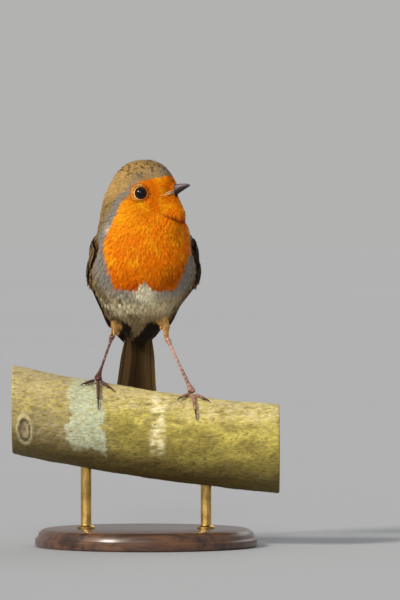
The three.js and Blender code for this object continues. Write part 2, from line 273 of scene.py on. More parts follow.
def speckle(points, size, seed=0):
    """Smooth noise about 0, with features `size` millimetres across."""
    scale = 1 / (size * MM)
    offset = Vector((seed * 7.3, seed * 3.1, seed * 5.7))
    return np.array([noise.noise(Vector(p) * scale + offset) for p in points])


def over(colours, colour, share):
    """Colours laid over others by a share that varies from place to place."""
    return colours + (colour - colours) * np.clip(share, 0, 1)[:, None]


def layered(colours, *layers):
    """Colours with further layers over them, each given as (colour, share)."""
    for colour, share in layers:
        colours = over(colours, colour, share)
    return colours


def plain(colour, points):
    return np.tile(colour, (len(points), 1))


def bib_margin(points, in_trunk, in_head):
    """How far inside the orange of face and breast a point is, in mm. Negative outside."""
    height = points[:, 2]
    to_head = ease(height, HEART.z, BETWEEN_EYES.z)[:, None]
    axis = blend(np.array(HEART)[None, :2], np.array(BETWEEN_EYES)[None, :2], to_head)
    across = points[:, :2] - axis
    rise = (height - HEART.z) / MM
    around = np.degrees(np.arctan2(across[:, 0], -across[:, 1])) - np.interp(rise, BIB_RISE, BIB_MIDDLE)
    around = np.abs((around + 180) % 360 - 180)
    side = (np.interp(rise, BIB_RISE, BIB_REACH) - around) * MM_PER_DEGREE
    notch = NOTCH["height"] * np.exp(-(((in_trunk[:, 0] - NOTCH["x"]) / NOTCH["wide"]) ** 2))
    lower = in_trunk[:, 2] - BIB_LOWER_EDGE - notch
    on_head = np.interp(-in_head[:, 1], CHEEK_FORWARD, CHEEK_HEIGHT) - in_head[:, 2]
    return blend(np.minimum(side, lower), on_head, ease(height, NECK_HIGH - 6 * MM, NECK_HIGH + 2 * MM))


# Turns places so that x runs along the parted feathers low on the right side of the belly, and shortens it.
SLANT = np.array(Matrix.Rotation(math.radians(38), 3, "Y")) @ np.diag((0.16, 1, 1))


def parted(in_trunk):
    """Noise about 0, in streaks along the parted feathers."""
    return speckle(in_trunk @ SLANT * MM, 1.5, 9)


def spot(places_mm, middle, radius):
    """A soft round spot: 1 in its middle, 0 past its edge."""
    return np.exp(-(np.linalg.norm(places_mm - np.array(middle), axis=1) / radius) ** 2)


def upper_colours(in_head, mottle, patches, points):
    """Olive-brown, with darker feather middles on the crown."""
    crown = ease(in_head[:, 2], 4, 9)
    beside = ease(np.abs(in_head[:, 0]), 2, 8) * ease(in_head[:, 2], -4, 3)
    return layered(
        plain(OLIVE, points),
        (OLIVE_DARK, 0.25 + 0.6 * mottle + 0.4 * patches),
        (CROWN_SIDE, beside * (0.5 + 0.5 * mottle)),
        (OLIVE_DARK, crown * ease(mottle, 0.05, 0.35) * 0.8),
    )


def wing_colours(streak, mottle, points):
    """Warm brown small feathers at the wing's bend, some dark and some edged with buff."""
    colours = over(plain(WING_WARM, points), QUILL_BROWN, 0.3 + 2.2 * streak)
    return over(colours, WING_BUFF, 0.75 * ease(mottle, 0.12, 0.4))


def belly_colours(colours, in_trunk, facing, on_trunk, streak):
    """White down the belly's middle, greyish buff on the flanks, and darker beside the wings."""
    flank = fade(facing, 92, 110) * on_trunk
    half = np.interp(in_trunk[:, 2], [-34, -20, -8, 2, 6], [58, 46, 42, 40, 0])
    belly = fade(facing, half - 20, half + 16) * on_trunk
    gaps = parted(in_trunk)
    ruffled = spot(in_trunk, *RUFFLED) * on_trunk
    vent = ease(-in_trunk[:, 2], 24, 32) * fade(facing, 95, 130)
    smudges_and_shade = [spot(in_trunk, *dark_patch) * on_trunk for dark_patch in SMUDGES_AND_SHADE]
    return layered(
        colours,
        (BUFF_GREY, flank),
        (FLANK_DARK, flank * (0.3 + 1.5 * streak) * ease(facing, 25, 70)),
        (WHITE, belly * (0.95 + 1.2 * streak)),
        (CLEAN_WHITE, 1.3 * spot(in_trunk, *BELLY_WHITE) * on_trunk),
        (FLANK_DARK, ruffled * 3.0 * np.maximum(-gaps, 0)),
        (CLEAN_WHITE, ruffled * 3.4 * np.maximum(gaps, 0)),
        (WHITE, vent * (0.6 + 0.8 * streak)),
        *((FLANK_DARK, dark_patch * (0.5 + 1.3 * streak)) for dark_patch in smudges_and_shade),
    )


def vent_shade(in_trunk, facing, height, mottle):
    """Dark brown on both sides of the narrow pale wedge under the tail's root: painted shade over the
    rump's own olive-brown.
    """
    half = np.interp(height / MM, WEDGE_HEIGHT, WEDGE_HALF)
    beside = ease(np.abs(in_trunk[:, 0] - WEDGE_X) - half + 0.6 * mottle, -0.3, 0.8)
    below = fade(height / MM + 0.8 * mottle, *WEDGE_TOP)
    return beside * below * (1 - 0.75 * ease(facing, 66, 96))


def orange_colours(in_trunk, in_head, on_trunk, streak, patches, points):
    """Orange that is paler towards the cheeks and deeper towards the belly, with painted shade in dark red
    in the throat's fold and, in part, in the chestnut patches.
    """
    cheeks = sum(spot(in_head, *cheek) for cheek in CHEEKS)
    low = fade(in_trunk[:, 2], 2, 15)
    deep = on_trunk * low * (0.65 + 0.7 * patches) + 0.5 * np.maximum(-streak, 0)
    chestnut_and_shade = sum(spot(in_trunk, *each) for each in CHESTNUT_AND_SHADE)
    ahead = -in_head[:, 1]
    # painted shade: dark red along the crease under the throat
    crease = -12.0 - 0.75 * (ahead - 9.7)
    fold = np.exp(-(((in_head[:, 2] - crease) / (0.5 + 0.8 * ease(ahead, 9, 14))) ** 2))
    fold = fold * ease(ahead, 5.5, 11.5) * fade(in_head[:, 0], 0.5, 4)
    return layered(
        plain(ORANGE, points),
        (ORANGE_PALE, 0.12 + 0.9 * patches + 0.5 * streak),
        (ORANGE_PALE, 0.7 * cheeks),
        (ORANGE_DEEP, deep),
        (SHADE_RED, chestnut_and_shade * (0.45 + 0.8 * streak)),
        (SHADE_RED, fold * (0.9 + 0.8 * streak)),
    )


def grey_band(colours, in_trunk, in_head, height, margin, streak):
    """Blue-grey along the edge of the orange, broader beside the breast and faint in the middle."""
    on_brow = ease(in_head[:, 2], 3, 6) * ease(height, NECK_HIGH, NECK_HIGH + 4 * MM)
    wide = 1.8 * fade(in_trunk[:, 2], 14, 22)
    band = fade(-margin, 2.4 + wide, 6.0 + wide) * ease(in_trunk[:, 2], -9, 2)
    middle = fade(np.abs(in_trunk[:, 0] - NOTCH["x"]), 2, 7) * fade(in_trunk[:, 2], 4, 9)
    band = band * (1 - 0.9 * middle)
    return over(colours, BLUE_GREY, band * (0.78 - 0.5 * on_brow + 0.8 * streak))


def under_shade(colours, in_trunk, facing, height, on_trunk, mottle, streak):
    """Painted shade: darker low on the belly and towards the tail's root."""
    low = fade(height / MM, 100.5, 108.5) * fade(facing, 60, 110) * on_trunk
    wedge = fade(height / MM, *WEDGE_TOP)
    return layered(
        colours,
        (BELLY_SHADE, low * (0.9 - 0.55 * wedge + 0.6 * streak)),
        (BELLY_SHADE, wedge * (0.6 + 0.3 * fade(height / MM, 91, 98)) * on_trunk),
        (VENT_SHADE_BROWN, vent_shade(in_trunk, facing, height, mottle)),
    )


def eye_rings(colours, points, in_head):
    """A thin pale ring round each eye, broadest behind it."""
    for side in SIDES:
        from_eye = points - np.array(EYES[side])
        ahead = from_eye @ np.array(EYE_AIM[side]) / MM
        off_axis = np.sqrt(np.maximum(0, (from_eye ** 2).sum(1) / MM ** 2 - ahead ** 2))
        behind = ease(in_head[:, 1] + 0.5 * in_head[:, 2], -1.0, 1.6)
        ring = fade(off_axis, 3.0 + 0.3 * behind, 3.6 + 1.2 * behind)
        colours = over(colours, EYE_RING, ring * ease(ahead, -1, 1) * (0.55 + 0.4 * behind))
    return colours


def plumage_colour(points):
    """The markings of head and body at world points, as linear colours."""
    in_trunk = within(TRUNK, points)
    in_head = within(HEAD, points)
    height = points[:, 2]
    facing = round_trunk(in_trunk)
    on_trunk = fade(height, NECK_LOW - 4 * MM, NECK_HIGH)
    patches = speckle(points, 5)
    mottle = speckle(points, 1.3, 1)
    down = speckle(in_trunk * (1, 1, 0.16) * MM, 0.8, 2)
    back = speckle(in_head * (1, 0.2, 1) * MM, 0.7, 3)
    streak = blend(back, down, on_trunk)
    margin = bib_margin(points, in_trunk, in_head) + 0.7 * mottle + 0.6 * streak + 0.9 * on_trunk * patches
    colours = upper_colours(in_head, mottle, patches, points)
    colours = belly_colours(colours, in_trunk, facing, on_trunk, streak)
    colours = grey_band(colours, in_trunk, in_head, height, margin, streak)
    colours = over(colours, WHITE, 0.9 * spot(in_trunk, *SPARK))
    orange = orange_colours(in_trunk, in_head, on_trunk, streak, patches, points)
    colours = blend(colours, orange, ease(margin, -0.5, 0.5)[:, None])
    colours = under_shade(colours, in_trunk, facing, height, on_trunk, mottle, streak)
    colours = eye_rings(colours, points, in_head)
    colours = blend(colours, wing_colours(down, mottle, points), wing_share(points)[:, None])
    return over(colours, THIGH_BUFF, thigh_share(points) * (0.9 + 0.6 * streak))


def face_share(points):
    """1 at the bill's root and round the eyes, 0 from the back of the head downwards."""
    from_bill = fade(distance_to(points, BILL_ROOT), 2, 17)
    return np.maximum(from_bill, fade(from_nearer_eye(points), 3.4, 8))


def wing_share(points):
    """1 on the wings' small coverts, 0 on the body beside them and on the shoulders above."""
    to_wing = gap_to(points, WING_REACH, *COVERTS)
    to_body = gap_to(points, WING_REACH, "trunk", "neck")
    in_trunk = within(TRUNK, points)
    facing = round_trunk(in_trunk)
    leading = ease(facing, 70, 80) * ease(in_trunk[:, 2], -10, -4)
    share = np.maximum(ease(to_body - to_wing, -0.2, 0.9), leading)
    return share * fade(facing, 96, 114) * fade(in_trunk[:, 2], 13, 18)


def thigh_share(points):
    """1 on the feathered legs below the belly."""
    share = np.zeros(len(points))
    for side in SIDES:
        low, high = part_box(f"thigh_{side}")
        near = distance_to(points * (1, 1, 0), ((low + high) / 2) * Vector((1, 1, 0)))
        below = fade(points[:, 2], high.z - 5 * MM, high.z - 1 * MM)
        share = np.maximum(share, fade(near, 3, 5) * below)
    return share


# ---- mesh helpers ----

def new_piece(name, mesh, material):
    """An object in the scene that rides on the part's only body."""
    piece = bpy.data.objects.new(name, mesh)
    bpy.context.scene.collection.objects.link(piece)
    mesh.materials.clear()
    mesh.materials.append(material)
    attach(piece, "root")
    return piece


def shade_smooth(mesh):
    mesh.polygons.foreach_set("use_smooth", np.ones(len(mesh.polygons), bool))


def mesh_from(shape, name, smooth=True):
    """The mesh of a bmesh, with its faces turned outwards."""
    bmesh.ops.recalc_face_normals(shape, faces=shape.faces)
    mesh = bpy.data.meshes.new(name)
    shape.to_mesh(mesh)
    shape.free()
    if smooth:
        shade_smooth(mesh)
    return mesh


def merged_copy(*nodes):
    """A bmesh of CAD nodes whose loose triangles are joined up."""
    shape = bmesh.new()
    for node in nodes:
        shape.from_mesh(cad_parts[node].data)
    bmesh.ops.remove_doubles(shape, verts=shape.verts, dist=0.01 * MM)
    return shape


def settled(shape, name, *modifiers):
    """The mesh that a bmesh has after its modifiers, given as (type, settings) pairs."""
    source = bpy.data.objects.new(name + "_source", mesh_from(shape, name + "_source"))
    bpy.context.scene.collection.objects.link(source)
    for kind, settings in modifiers:
        modifier = source.modifiers.new(kind.title(), kind)
        for key, value in settings.items():
            setattr(modifier, key, value)
    graph = bpy.context.evaluated_depsgraph_get()
    mesh = bpy.data.meshes.new_from_object(source.evaluated_get(graph))
    mesh.name = name
    bpy.data.objects.remove(source)
    return mesh


def rounded(shape, name, levels):
    """The mesh of a bmesh whose faces are divided and rounded off."""
    return settled(shape, name, ("SUBSURF", {"levels": levels, "render_levels": levels}))


def regridded(shape, name, grid, rounds):
    """The mesh of a bmesh whose overlapping parts are joined on a grid in mm, and smoothed."""
    return settled(
        shape,
        name,
        ("REMESH", {"mode": "VOXEL", "voxel_size": grid * MM}),
        ("SMOOTH", {"factor": 0.5, "iterations": rounds}),
    )


def vectors_of(mesh, kind):
    values = np.empty(len(mesh.vertices) * 3, np.float32)
    mesh.vertices.foreach_get(kind, values)
    return values.reshape(-1, 3).astype(float)


def places(mesh):
    return vectors_of(mesh, "co")


def normals(mesh):
    return vectors_of(mesh, "normal")


def move_to(mesh, co):
    mesh.vertices.foreach_set("co", co.astype(np.float32).ravel())
    mesh.update()


def paint(mesh, colours):
    attribute = mesh.color_attributes.new("Markings", "FLOAT_COLOR", "POINT")
    rgba = np.concatenate([np.clip(colours, 0, 1), np.ones((len(colours), 1))], axis=1)
    attribute.data.foreach_set("color", rgba.astype(np.float32).ravel())


def swell(shape, by):
    """Moves the corners of a bmesh out along their normals, by millimetres."""
    for vertex in shape.verts:
        vertex.co += vertex.normal * by * MM


def add_maps(mesh, faces, own, baked):
    """The map that holds each feather's own (across, along), and the bake map."""
    for title, flat in (("Vane", own), ("OFBake", baked)):
        layer = mesh.uv_layers.new(name=title)
        layer.data.foreach_set("uv", flat[faces.ravel()].astype(np.float32).ravel())


def facing_matrix(origin, outward):
    """The matrix that carries +Z to `outward` at a place."""
    return Matrix.Translation(origin) @ Vector(outward).to_track_quat("Z", "Y").to_matrix().to_4x4()


def spun(profile, segments, closed=False):
    """A bmesh turned on a lathe about Z from its profile of (radius, height) in millimetres."""
    shape = bmesh.new()
    corners = [shape.verts.new((r * MM, 0, z * MM)) for r, z in profile]
    for a, b in zip(corners, corners[1:]):
        shape.edges.new((a, b))
    if closed:
        shape.edges.new((corners[-1], corners[0]))
    bmesh.ops.spin(
        shape,
        geom=shape.verts[:] + shape.edges[:],
        cent=(0, 0, 0),
        axis=(0, 0, 1),
        angle=2 * math.pi,
        steps=segments,
        use_merge=True,
    )
    bmesh.ops.remove_doubles(shape, verts=shape.verts, dist=0.001 * MM)
    return shape


def extruded(shape, edges):
    """The edges and the corners of a new ring that is drawn out of the last one's edges."""
    grown = bmesh.ops.extrude_edge_only(shape, edges=edges)["geom"]
    new_edges = [g for g in grown if isinstance(g, bmesh.types.BMEdge)]
    new_corners = [g for g in grown if isinstance(g, bmesh.types.BMVert)]
    return new_edges, new_corners


def swept(stations, radii, segments):
    """A bmesh of a round rod that is extruded from station to station, with closed ends."""
    shape = bmesh.new()
    ahead = (stations[1] - stations[0]).normalized()
    matrix = facing_matrix(stations[0], ahead)
    bmesh.ops.create_circle(shape, segments=segments, radius=radii[0], matrix=matrix)
    edges = shape.edges[:]
    bmesh.ops.contextual_create(shape, geom=edges)
    for i in range(1, len(stations)):
        edges, ring = extruded(shape, edges)
        step = stations[i] - stations[i - 1]
        turn = ahead.rotation_difference(step).to_matrix().to_4x4()
        ahead = step.normalized()
        size = radii[i] / radii[i - 1]
        here = Matrix.Translation(stations[i])
        back = Matrix.Translation(-stations[i - 1])
        bmesh.ops.transform(shape, verts=ring, matrix=here @ turn @ Matrix.Scale(size, 4) @ back)
    bmesh.ops.contextual_create(shape, geom=edges)
    return shape


# ---- material helpers ----

def node_of(tree, kind, **inputs):
    """A shader node with some of its inputs set."""
    made = tree.nodes.new(kind)
    for name, value in inputs.items():
        made.inputs[name.replace("_", " ")].default_value = value
    return made


def give(tree, socket, value):
    """Sets a socket to a number or a colour, or links it to another node's output."""
    if isinstance(value, (int, float)):
        socket.default_value = value
    elif isinstance(value, (tuple, np.ndarray)):
        socket.default_value = (*value[:3], 1)
    else:
        tree.links.new(value, socket)


def ramp(tree, source, low, high, start=0.0, end=1.0):
    """A value carried from low..high to start..end, smoothly."""
    made = tree.nodes.new("ShaderNodeMapRange")
    made.interpolation_type = "SMOOTHSTEP"
    for index, value in enumerate((source, low, high, start, end)):
        give(tree, made.inputs[index], value)
    return made.outputs[0]


def calculate(tree, operation, a, b=None):
    made = tree.nodes.new("ShaderNodeMath")
    made.operation = operation
    give(tree, made.inputs[0], a)
    if b is not None:
        give(tree, made.inputs[1], b)
    return made.outputs[0]


def mix_colour(tree, share, a, b, kind="MIX"):
    made = tree.nodes.new("ShaderNodeMix")
    made.data_type = "RGBA"
    made.blend_type = kind
    for index, value in ((0, share), (6, a), (7, b)):
        give(tree, made.inputs[index], value)
    return made.outputs[2]


def own_place(tree):
    """The place on the piece itself, so that its grain stays with it."""
    return tree.nodes.new("ShaderNodeTexCoord").outputs["Object"]


def stretched(tree, where, scale, location=(0, 0, 0)):
    """Places scaled by axis, for a grain that runs one way."""
    made = node_of(tree, "ShaderNodeMapping", Scale=scale, Location=location)
    tree.links.new(where, made.inputs["Vector"])
    return made.outputs[0]


def grain(tree, where, size, detail=3.0, rough=0.55):
    """Noise with features about `size` millimetres across."""
    made = node_of(tree, "ShaderNodeTexNoise", Scale=1 / (size * MM), Detail=detail, Roughness=rough)
    tree.links.new(where, made.inputs["Vector"])
    return made.outputs["Fac"]


def markings_of(tree):
    markings = tree.nodes.new("ShaderNodeAttribute")
    markings.attribute_name = "Markings"
    return markings.outputs["Color"]


def finish_of(name, **constants):
    """A new material with a Principled BSDF whose constant values are set on its own sockets."""
    material = bpy.data.materials.new(name)
    material.use_nodes = True
    shader = material.node_tree.nodes["Principled BSDF"]
    for key, value in constants.items():
        shader.inputs[key.replace("_", " ")].default_value = value
    return material, material.node_tree, shader


def lay_on(tree, shader, colour, roughness):
    tree.links.new(colour, shader.inputs["Base Color"])
    tree.links.new(roughness, shader.inputs["Roughness"])


def raise_bumps(tree, shader, height, distance, strength=1.0):
    """Bumps from a height of 0 to 1 that stands for `distance` millimetres."""
    bump = node_of(tree, "ShaderNodeBump", Strength=strength, Distance=distance * MM)
    tree.links.new(height, bump.inputs["Height"])
    tree.links.new(bump.outputs[0], shader.inputs["Normal"])


def marked_finish(name, specular, grain_size, shade, roughness, relief=None):
    """A finish whose markings come from the piece, with one grain for their shade, shine and relief."""
    material, tree, shader = finish_of(name, Specular_IOR_Level=specular)
    fine = grain(tree, own_place(tree), *grain_size)
    colour = mix_colour(tree, 1.0, markings_of(tree), ramp(tree, fine, *shade), "MULTIPLY")
    lay_on(tree, shader, colour, ramp(tree, fine, 0.2, 0.8, *roughness))
    if relief:
        raise_bumps(tree, shader, fine, *relief)
    return material


BARB_SLANT = 0.35  # how far back a barb's tip lies, over how far out
BARB_WANDER = 0.05  # how unevenly the barbs run, over the feather's length
SHAFT_COLOUR = (0.03, 0.02, 0.014)
BARB_SOCKETS = (
    ("Markings", "Color", "INPUT"),
    ("Vane", "Vector", "INPUT"),
    ("Place", "Vector", "INPUT"),
    ("Barbs", "Float", "INPUT"),
    ("Shaft", "Float", "INPUT"),
    ("Root Shade", "Float", "INPUT"),
    ("Color", "Color", "OUTPUT"),
    ("Roughness", "Float", "OUTPUT"),
    ("Height", "Float", "OUTPUT"),
)


def make_barbs():
    """Shared by every feather: barbs that leave the shaft aslant, and colour that fades at the root, partly
    the feathers' own grey bases and partly painted shade under the feathers that overlap them.
    """
    tree = bpy.data.node_groups.new("Barbs", "ShaderNodeTree")
    for name, kind, way in BARB_SOCKETS:
        tree.interface.new_socket(name, in_out=way, socket_type=f"NodeSocket{kind}")
    given = tree.nodes.new("NodeGroupInput").outputs
    out = tree.nodes.new("NodeGroupOutput").inputs
    parts = tree.nodes.new("ShaderNodeSeparateXYZ")
    tree.links.new(given["Vane"], parts.inputs[0])
    across = calculate(tree, "ABSOLUTE", parts.outputs[0])
    along = calculate(tree, "SUBTRACT", parts.outputs[1], calculate(tree, "MULTIPLY", across, BARB_SLANT))
    wander = calculate(tree, "MULTIPLY", grain(tree, given["Place"], 0.9), BARB_WANDER)
    turns = calculate(tree, "MULTIPLY", calculate(tree, "ADD", along, wander), given["Barbs"])
    barb = ramp(tree, calculate(tree, "SINE", turns), -1, 0.6)
    shaft = calculate(tree, "MULTIPLY", ramp(tree, across, 0.03, 0.09, 1, 0), given["Shaft"])
    # the root's darkening: grey feather bases and painted shade under the overlapping feathers
    root = calculate(tree, "MULTIPLY", ramp(tree, parts.outputs[1], 0.15, 0.85, 1, 0), given["Root Shade"])
    fine = grain(tree, given["Place"], 0.35, 4)
    shade = ramp(tree, fine, 0.3, 0.7, 0.82, 1.12)
    shade = calculate(tree, "MULTIPLY", shade, ramp(tree, barb, 0, 1, 0.82, 1.04))
    shade = calculate(tree, "MULTIPLY", shade, calculate(tree, "SUBTRACT", 1.0, root))
    colour = mix_colour(tree, 1.0, given["Markings"], shade, "MULTIPLY")
    tree.links.new(mix_colour(tree, shaft, colour, SHAFT_COLOUR), out["Color"])
    tree.links.new(ramp(tree, fine, 0.3, 0.7, 0.55, 0.78), out["Roughness"])
    height = calculate(tree, "ADD", calculate(tree, "MULTIPLY", barb, 0.6), fine)
    tree.links.new(height, out["Height"])
    return tree


BARBS = make_barbs()


def feather_finish(name, barbs, shaft, root_shade, sheen, relief):
    """A plumage material: its markings come from the piece, its barbs from each feather's own map."""
    material, tree, shader = finish_of(
        name, Sheen_Weight=sheen, Sheen_Roughness=0.4, Specular_IOR_Level=0.08
    )
    vane = tree.nodes.new("ShaderNodeUVMap")
    vane.uv_map = "Vane"
    group = tree.nodes.new("ShaderNodeGroup")
    group.node_tree = BARBS
    for socket, value in (
        ("Markings", markings_of(tree)),
        ("Vane", vane.outputs[0]),
        ("Place", own_place(tree)),
        ("Barbs", barbs * 2 * math.pi),
        ("Shaft", shaft),
        ("Root Shade", root_shade),
    ):
        give(tree, group.inputs[socket], value)
    lay_on(tree, shader, group.outputs["Color"], group.outputs["Roughness"])
    raise_bumps(tree, shader, group.outputs["Height"], relief, 0.5)
    return material


def skin_finish():
    """Down seen between the feathers: the same markings, darker and duller."""
    return marked_finish("down", 0.15, (0.4, 5), (0.25, 0.75, 0.35, 0.8), (0.7, 0.95), (0.25, 1.0))


# ---- the skin ----

FLESH = ("trunk", "neck", "head", "thigh_left", "thigh_right", *COVERTS)
PARTING = 0.4  # mm that the parted solids swell by, so that they meet
SKIN_GRID = 0.75  # mm
COAT_DEPTH = 1.3  # mm on the body
HEAD_DEPTH = 0.9
FACE_DEPTH = 0.4  # round the bill and the eyes
THIGH_DEPTH = 0.6
WING_SINK = 1.9  # mm more at the bend of the wing
COVERT_REACH = 3  # mm under the coverts within which the skin belongs to the wing
WING_SKIN = tint(70, 52, 36)


def coat_depth(points):
    """How far the skin lies under the outline of the coat, in mm."""
    head = ease(points[:, 2], NECK_LOW, NECK_HIGH)
    depth = blend(COAT_DEPTH, HEAD_DEPTH, head)
    depth = blend(depth, FACE_DEPTH, face_share(points))
    return blend(depth, THIGH_DEPTH, thigh_share(points))


def make_skin():
    """One skin over all the flesh, sunk by the depth of the coat and painted like it."""
    shape = merged_copy(*FLESH)
    swell(shape, PARTING)
    mesh = regridded(shape, "skin", SKIN_GRID, 4)
    points = places(mesh)
    bend = WING_SINK * wing_share(points) * ease(within(TRUNK, points)[:, 2], -8, 14)
    depth = coat_depth(points) + PARTING + bend
    move_to(mesh, points - normals(mesh) * depth[:, None] * MM)
    shape = bmesh.new()
    shape.from_mesh(mesh)
    axes = {"use_axis_x": True, "use_axis_y": True, "use_axis_z": True}
    for _ in range(3):
        bmesh.ops.smooth_vert(shape, verts=shape.verts, factor=0.5, **axes)
    shape.to_mesh(mesh)
    shape.free()
    shade_smooth(mesh)
    points = places(mesh)
    wings = struck(points, normals(mesh), COVERT_REACH, *COVERTS)
    paint(mesh, over(plumage_colour(points), WING_SKIN, wings.astype(float)))
    skin = new_piece("skin", mesh, skin_finish())
    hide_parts(*FLESH)
    return skin


def struck(points, out, reach, *nodes):
    """Whether a line straight out from each place meets one of these nodes within a reach in mm."""
    tree = tree_of(*nodes)
    return np.array([
        tree.ray_cast(Vector(point), Vector(normal), reach * MM)[0] is not None
        for point, normal in zip(points, out)
    ])


def unwrap(skin):
    """Unfolds the skin's own shape flat, for the feathers' places on their bake map."""
    bpy.context.view_layer.objects.active = skin
    skin.select_set(True)
    bpy.ops.object.mode_set(mode="EDIT")
    bpy.ops.mesh.select_all(action="SELECT")
    bpy.ops.uv.smart_project(angle_limit=math.radians(66), island_margin=0.004)
    bpy.ops.object.mode_set(mode="OBJECT")
    skin.select_set(False)


# ---- the camera, the light and the floor ----

LENS = 400  # mm, on a sensor 36 mm wide
CAMERA_DISTANCE = 3.0  # metres
CAMERA_ELEVATION = math.radians(1.0)
AIM = (cad_box[0] + cad_box[1]) / 2 + Vector((24.3, 0, 24.0)) * MM

# Each sun: the way it shines, its strength, its spread in degrees and its colour.
SUNS = {
    "key": ((0.72, 0.74, -0.66), 3.2, 14, (1, 0.95, 0.86)),
    "rim": ((-0.5, -0.9, -0.7), 0.5, 40, (1, 0.98, 0.95)),
    "catchlight": ((0.04, 0.92, -0.38), 0.5, 9, (0.94, 0.97, 1)),
}
BACKDROP = {"Color": (0.93, 0.93, 0.92, 1), "Strength": 0.48}
FLOOR_RADIUS = 14  # metres
FLOOR_GREYS = (tint(162, 164, 168), tint(166, 168, 172))


def set_camera():
    camera = bpy.data.objects.new("camera", bpy.data.cameras.new("camera"))
    bpy.context.scene.collection.objects.link(camera)
    camera.data.lens = LENS
    camera.data.sensor_width = 36
    camera.data.clip_start = 0.1
    away = Vector((0, -math.cos(CAMERA_ELEVATION), math.sin(CAMERA_ELEVATION)))
    camera.location = AIM + away * CAMERA_DISTANCE
    camera.rotation_euler = (-away).to_track_quat("-Z", "Y").to_euler()
    bpy.context.scene.camera = camera


def add_sun(name, toward, strength, spread, colour):
    """A distant soft light that shines the way `toward` points."""
    light = bpy.data.lights.new(name, "SUN")
    light.energy = strength
    light.angle = math.radians(spread)
    light.color = colour
    lamp = bpy.data.objects.new(name, light)
    bpy.context.scene.collection.objects.link(lamp)
    lamp.location = AIM - Vector(toward)
    lamp.rotation_euler = Vector(toward).to_track_quat("-Z", "Y").to_euler()


def set_lights():
    for name, settings in SUNS.items():
        add_sun(name, *settings)
    world = bpy.data.worlds.new("studio")
    bpy.context.scene.world = world
    world.use_nodes = True
    for socket, value in BACKDROP.items():
        world.node_tree.nodes["Background"].inputs[socket].default_value = value
    bpy.context.scene.view_settings.view_transform = "Standard"


def floor_finish():
    material, tree, shader = finish_of("floor_paper", Specular_IOR_Level=0.2, Roughness=0.9)
    cloud = grain(tree, own_place(tree), 900, 2)
    tree.links.new(mix_colour(tree, cloud, *FLOOR_GREYS), shader.inputs["Base Color"])
    return material


def lay_floor():
    shape = bmesh.new()
    bmesh.ops.create_circle(shape, cap_ends=True, segments=96, radius=FLOOR_RADIUS)
    mesh = mesh_from(shape, "floor", smooth=False)
    floor = bpy.data.objects.new("floor", mesh)
    mesh.materials.append(floor_finish())
    bpy.context.scene.collection.objects.link(floor)


# ---- the coat ----

class Tuft:
    """The flat shape of one feather: slim barbs that fan out from its root.

    Its points are (across, along), from the root at (0, 0) to the tip at (0, 1).
    """

    def __init__(self, barbs, slim):
        points = []
        faces = []
        for k in range(barbs):
            turn = 2 * k / (barbs - 1) - 1
            uneven = 0.06 * (k % 2)
            start = len(points)
            points.append((0.15 * turn, 0.0))
            points.append((0.75 * turn - slim, 0.62 + uneven))
            points.append((0.75 * turn + slim, 0.62 + uneven))
            points.append((0.95 * turn, 1 - 0.16 * turn ** 2 - uneven))
            faces.append((start, start + 2, start + 1))
            faces.append((start + 1, start + 2, start + 3))
        self.barbs = barbs
        self.points = np.array(points)
        self.faces = np.array(faces)
        self.barb = np.repeat(np.arange(barbs), 4)
        self.edge = np.tile([0, -slim, slim, 0], barbs)
        self.tip = np.tile([0, 0, 0, 1], barbs)


FINE = Tuft(5, 0.24)
MEDIUM = Tuft(7, 0.17)
SOFT = Tuft(9, 0.13)
TUFT_SLIMNESS = 0.095  # half the width of a feather over its length
BEND = 0.2  # how far a feather may bend towards the skin, over its length
FLANK_PUFF = 0.8  # mm that the flanks' feathers stand higher
OVERHANG = 2.2  # mm that a feather's tip may stand off the skin
RUFFLE = 0.14  # mm that a feather's tip stands off, on average
SMALLEST_RUFFLED = 2.2  # mm, the length from which a feather's tip may stand off
RUFFLED_RISE = 0.7  # mm that parted feathers rise and sink
WANDER = 5  # degrees that a feather's line strays from the lie of the plumage
ROOT_SPACING = (0.12, 0.058)  # mm between roots, and mm more per mm of the feathers' length
CROWDING = 2.6  # roots tried for each that is kept


def lie(points, facing):
    """Which way the feathers lie at points of the skin, as unit vectors along it."""
    from_bill = unit(points - np.array(BILL_ROOT))
    down_trunk = np.tile(direction(TRUNK, 0, 0, -1), (len(points), 1))
    on_trunk = fade(points[:, 2], NECK_LOW - 8 * MM, NECK_HIGH)
    flow = blend(from_bill, down_trunk, on_trunk[:, None])
    flow = blend(flow, np.array((0.0, 0.1, -1.0)), thigh_share(points)[:, None])
    x, y, _ = within(TRUNK, points).T
    outward = unit(np.stack([-y * np.sign(x), np.abs(x), 0 * x], -1)) @ np.array(TRUNK.to_3x3()).T
    flow = flow + outward * (0.45 * flank_share(points))[:, None]
    at_bill = fade(gap_to(points, 3, *BILL), 0.6, 2.2)
    flow = blend(flow, direction(HEAD, 0, -1, 0), at_bill[:, None])
    for side in SIDES:
        aim = np.array(EYE_AIM[side])
        from_eye = points - np.array(EYES[side])
        away = from_eye - (from_eye @ aim)[:, None] * aim
        near = fade(np.linalg.norm(away, axis=1) / MM, 4.2, 7.0)
        near = near * ease(from_eye @ aim / MM, -1, 1)
        away = unit(away)
        inward = np.minimum(0, (flow * away).sum(1))
        flow = flow + away * (near * (0.45 - 1.1 * inward))[:, None]
    return unit(flow - (flow * facing).sum(1, keepdims=True) * facing)


def flank_share(points):
    """1 on the flanks, where long feathers puff out over the wings' leading edges."""
    in_trunk = within(TRUNK, points)
    facing = round_trunk(in_trunk)
    beside = ease(facing, 45, 70) * fade(facing, 76, 88)
    beside = beside * ease(in_trunk[:, 2], -34, -22) * fade(in_trunk[:, 2], 8, 15)
    return beside * (1 - thigh_share(points))


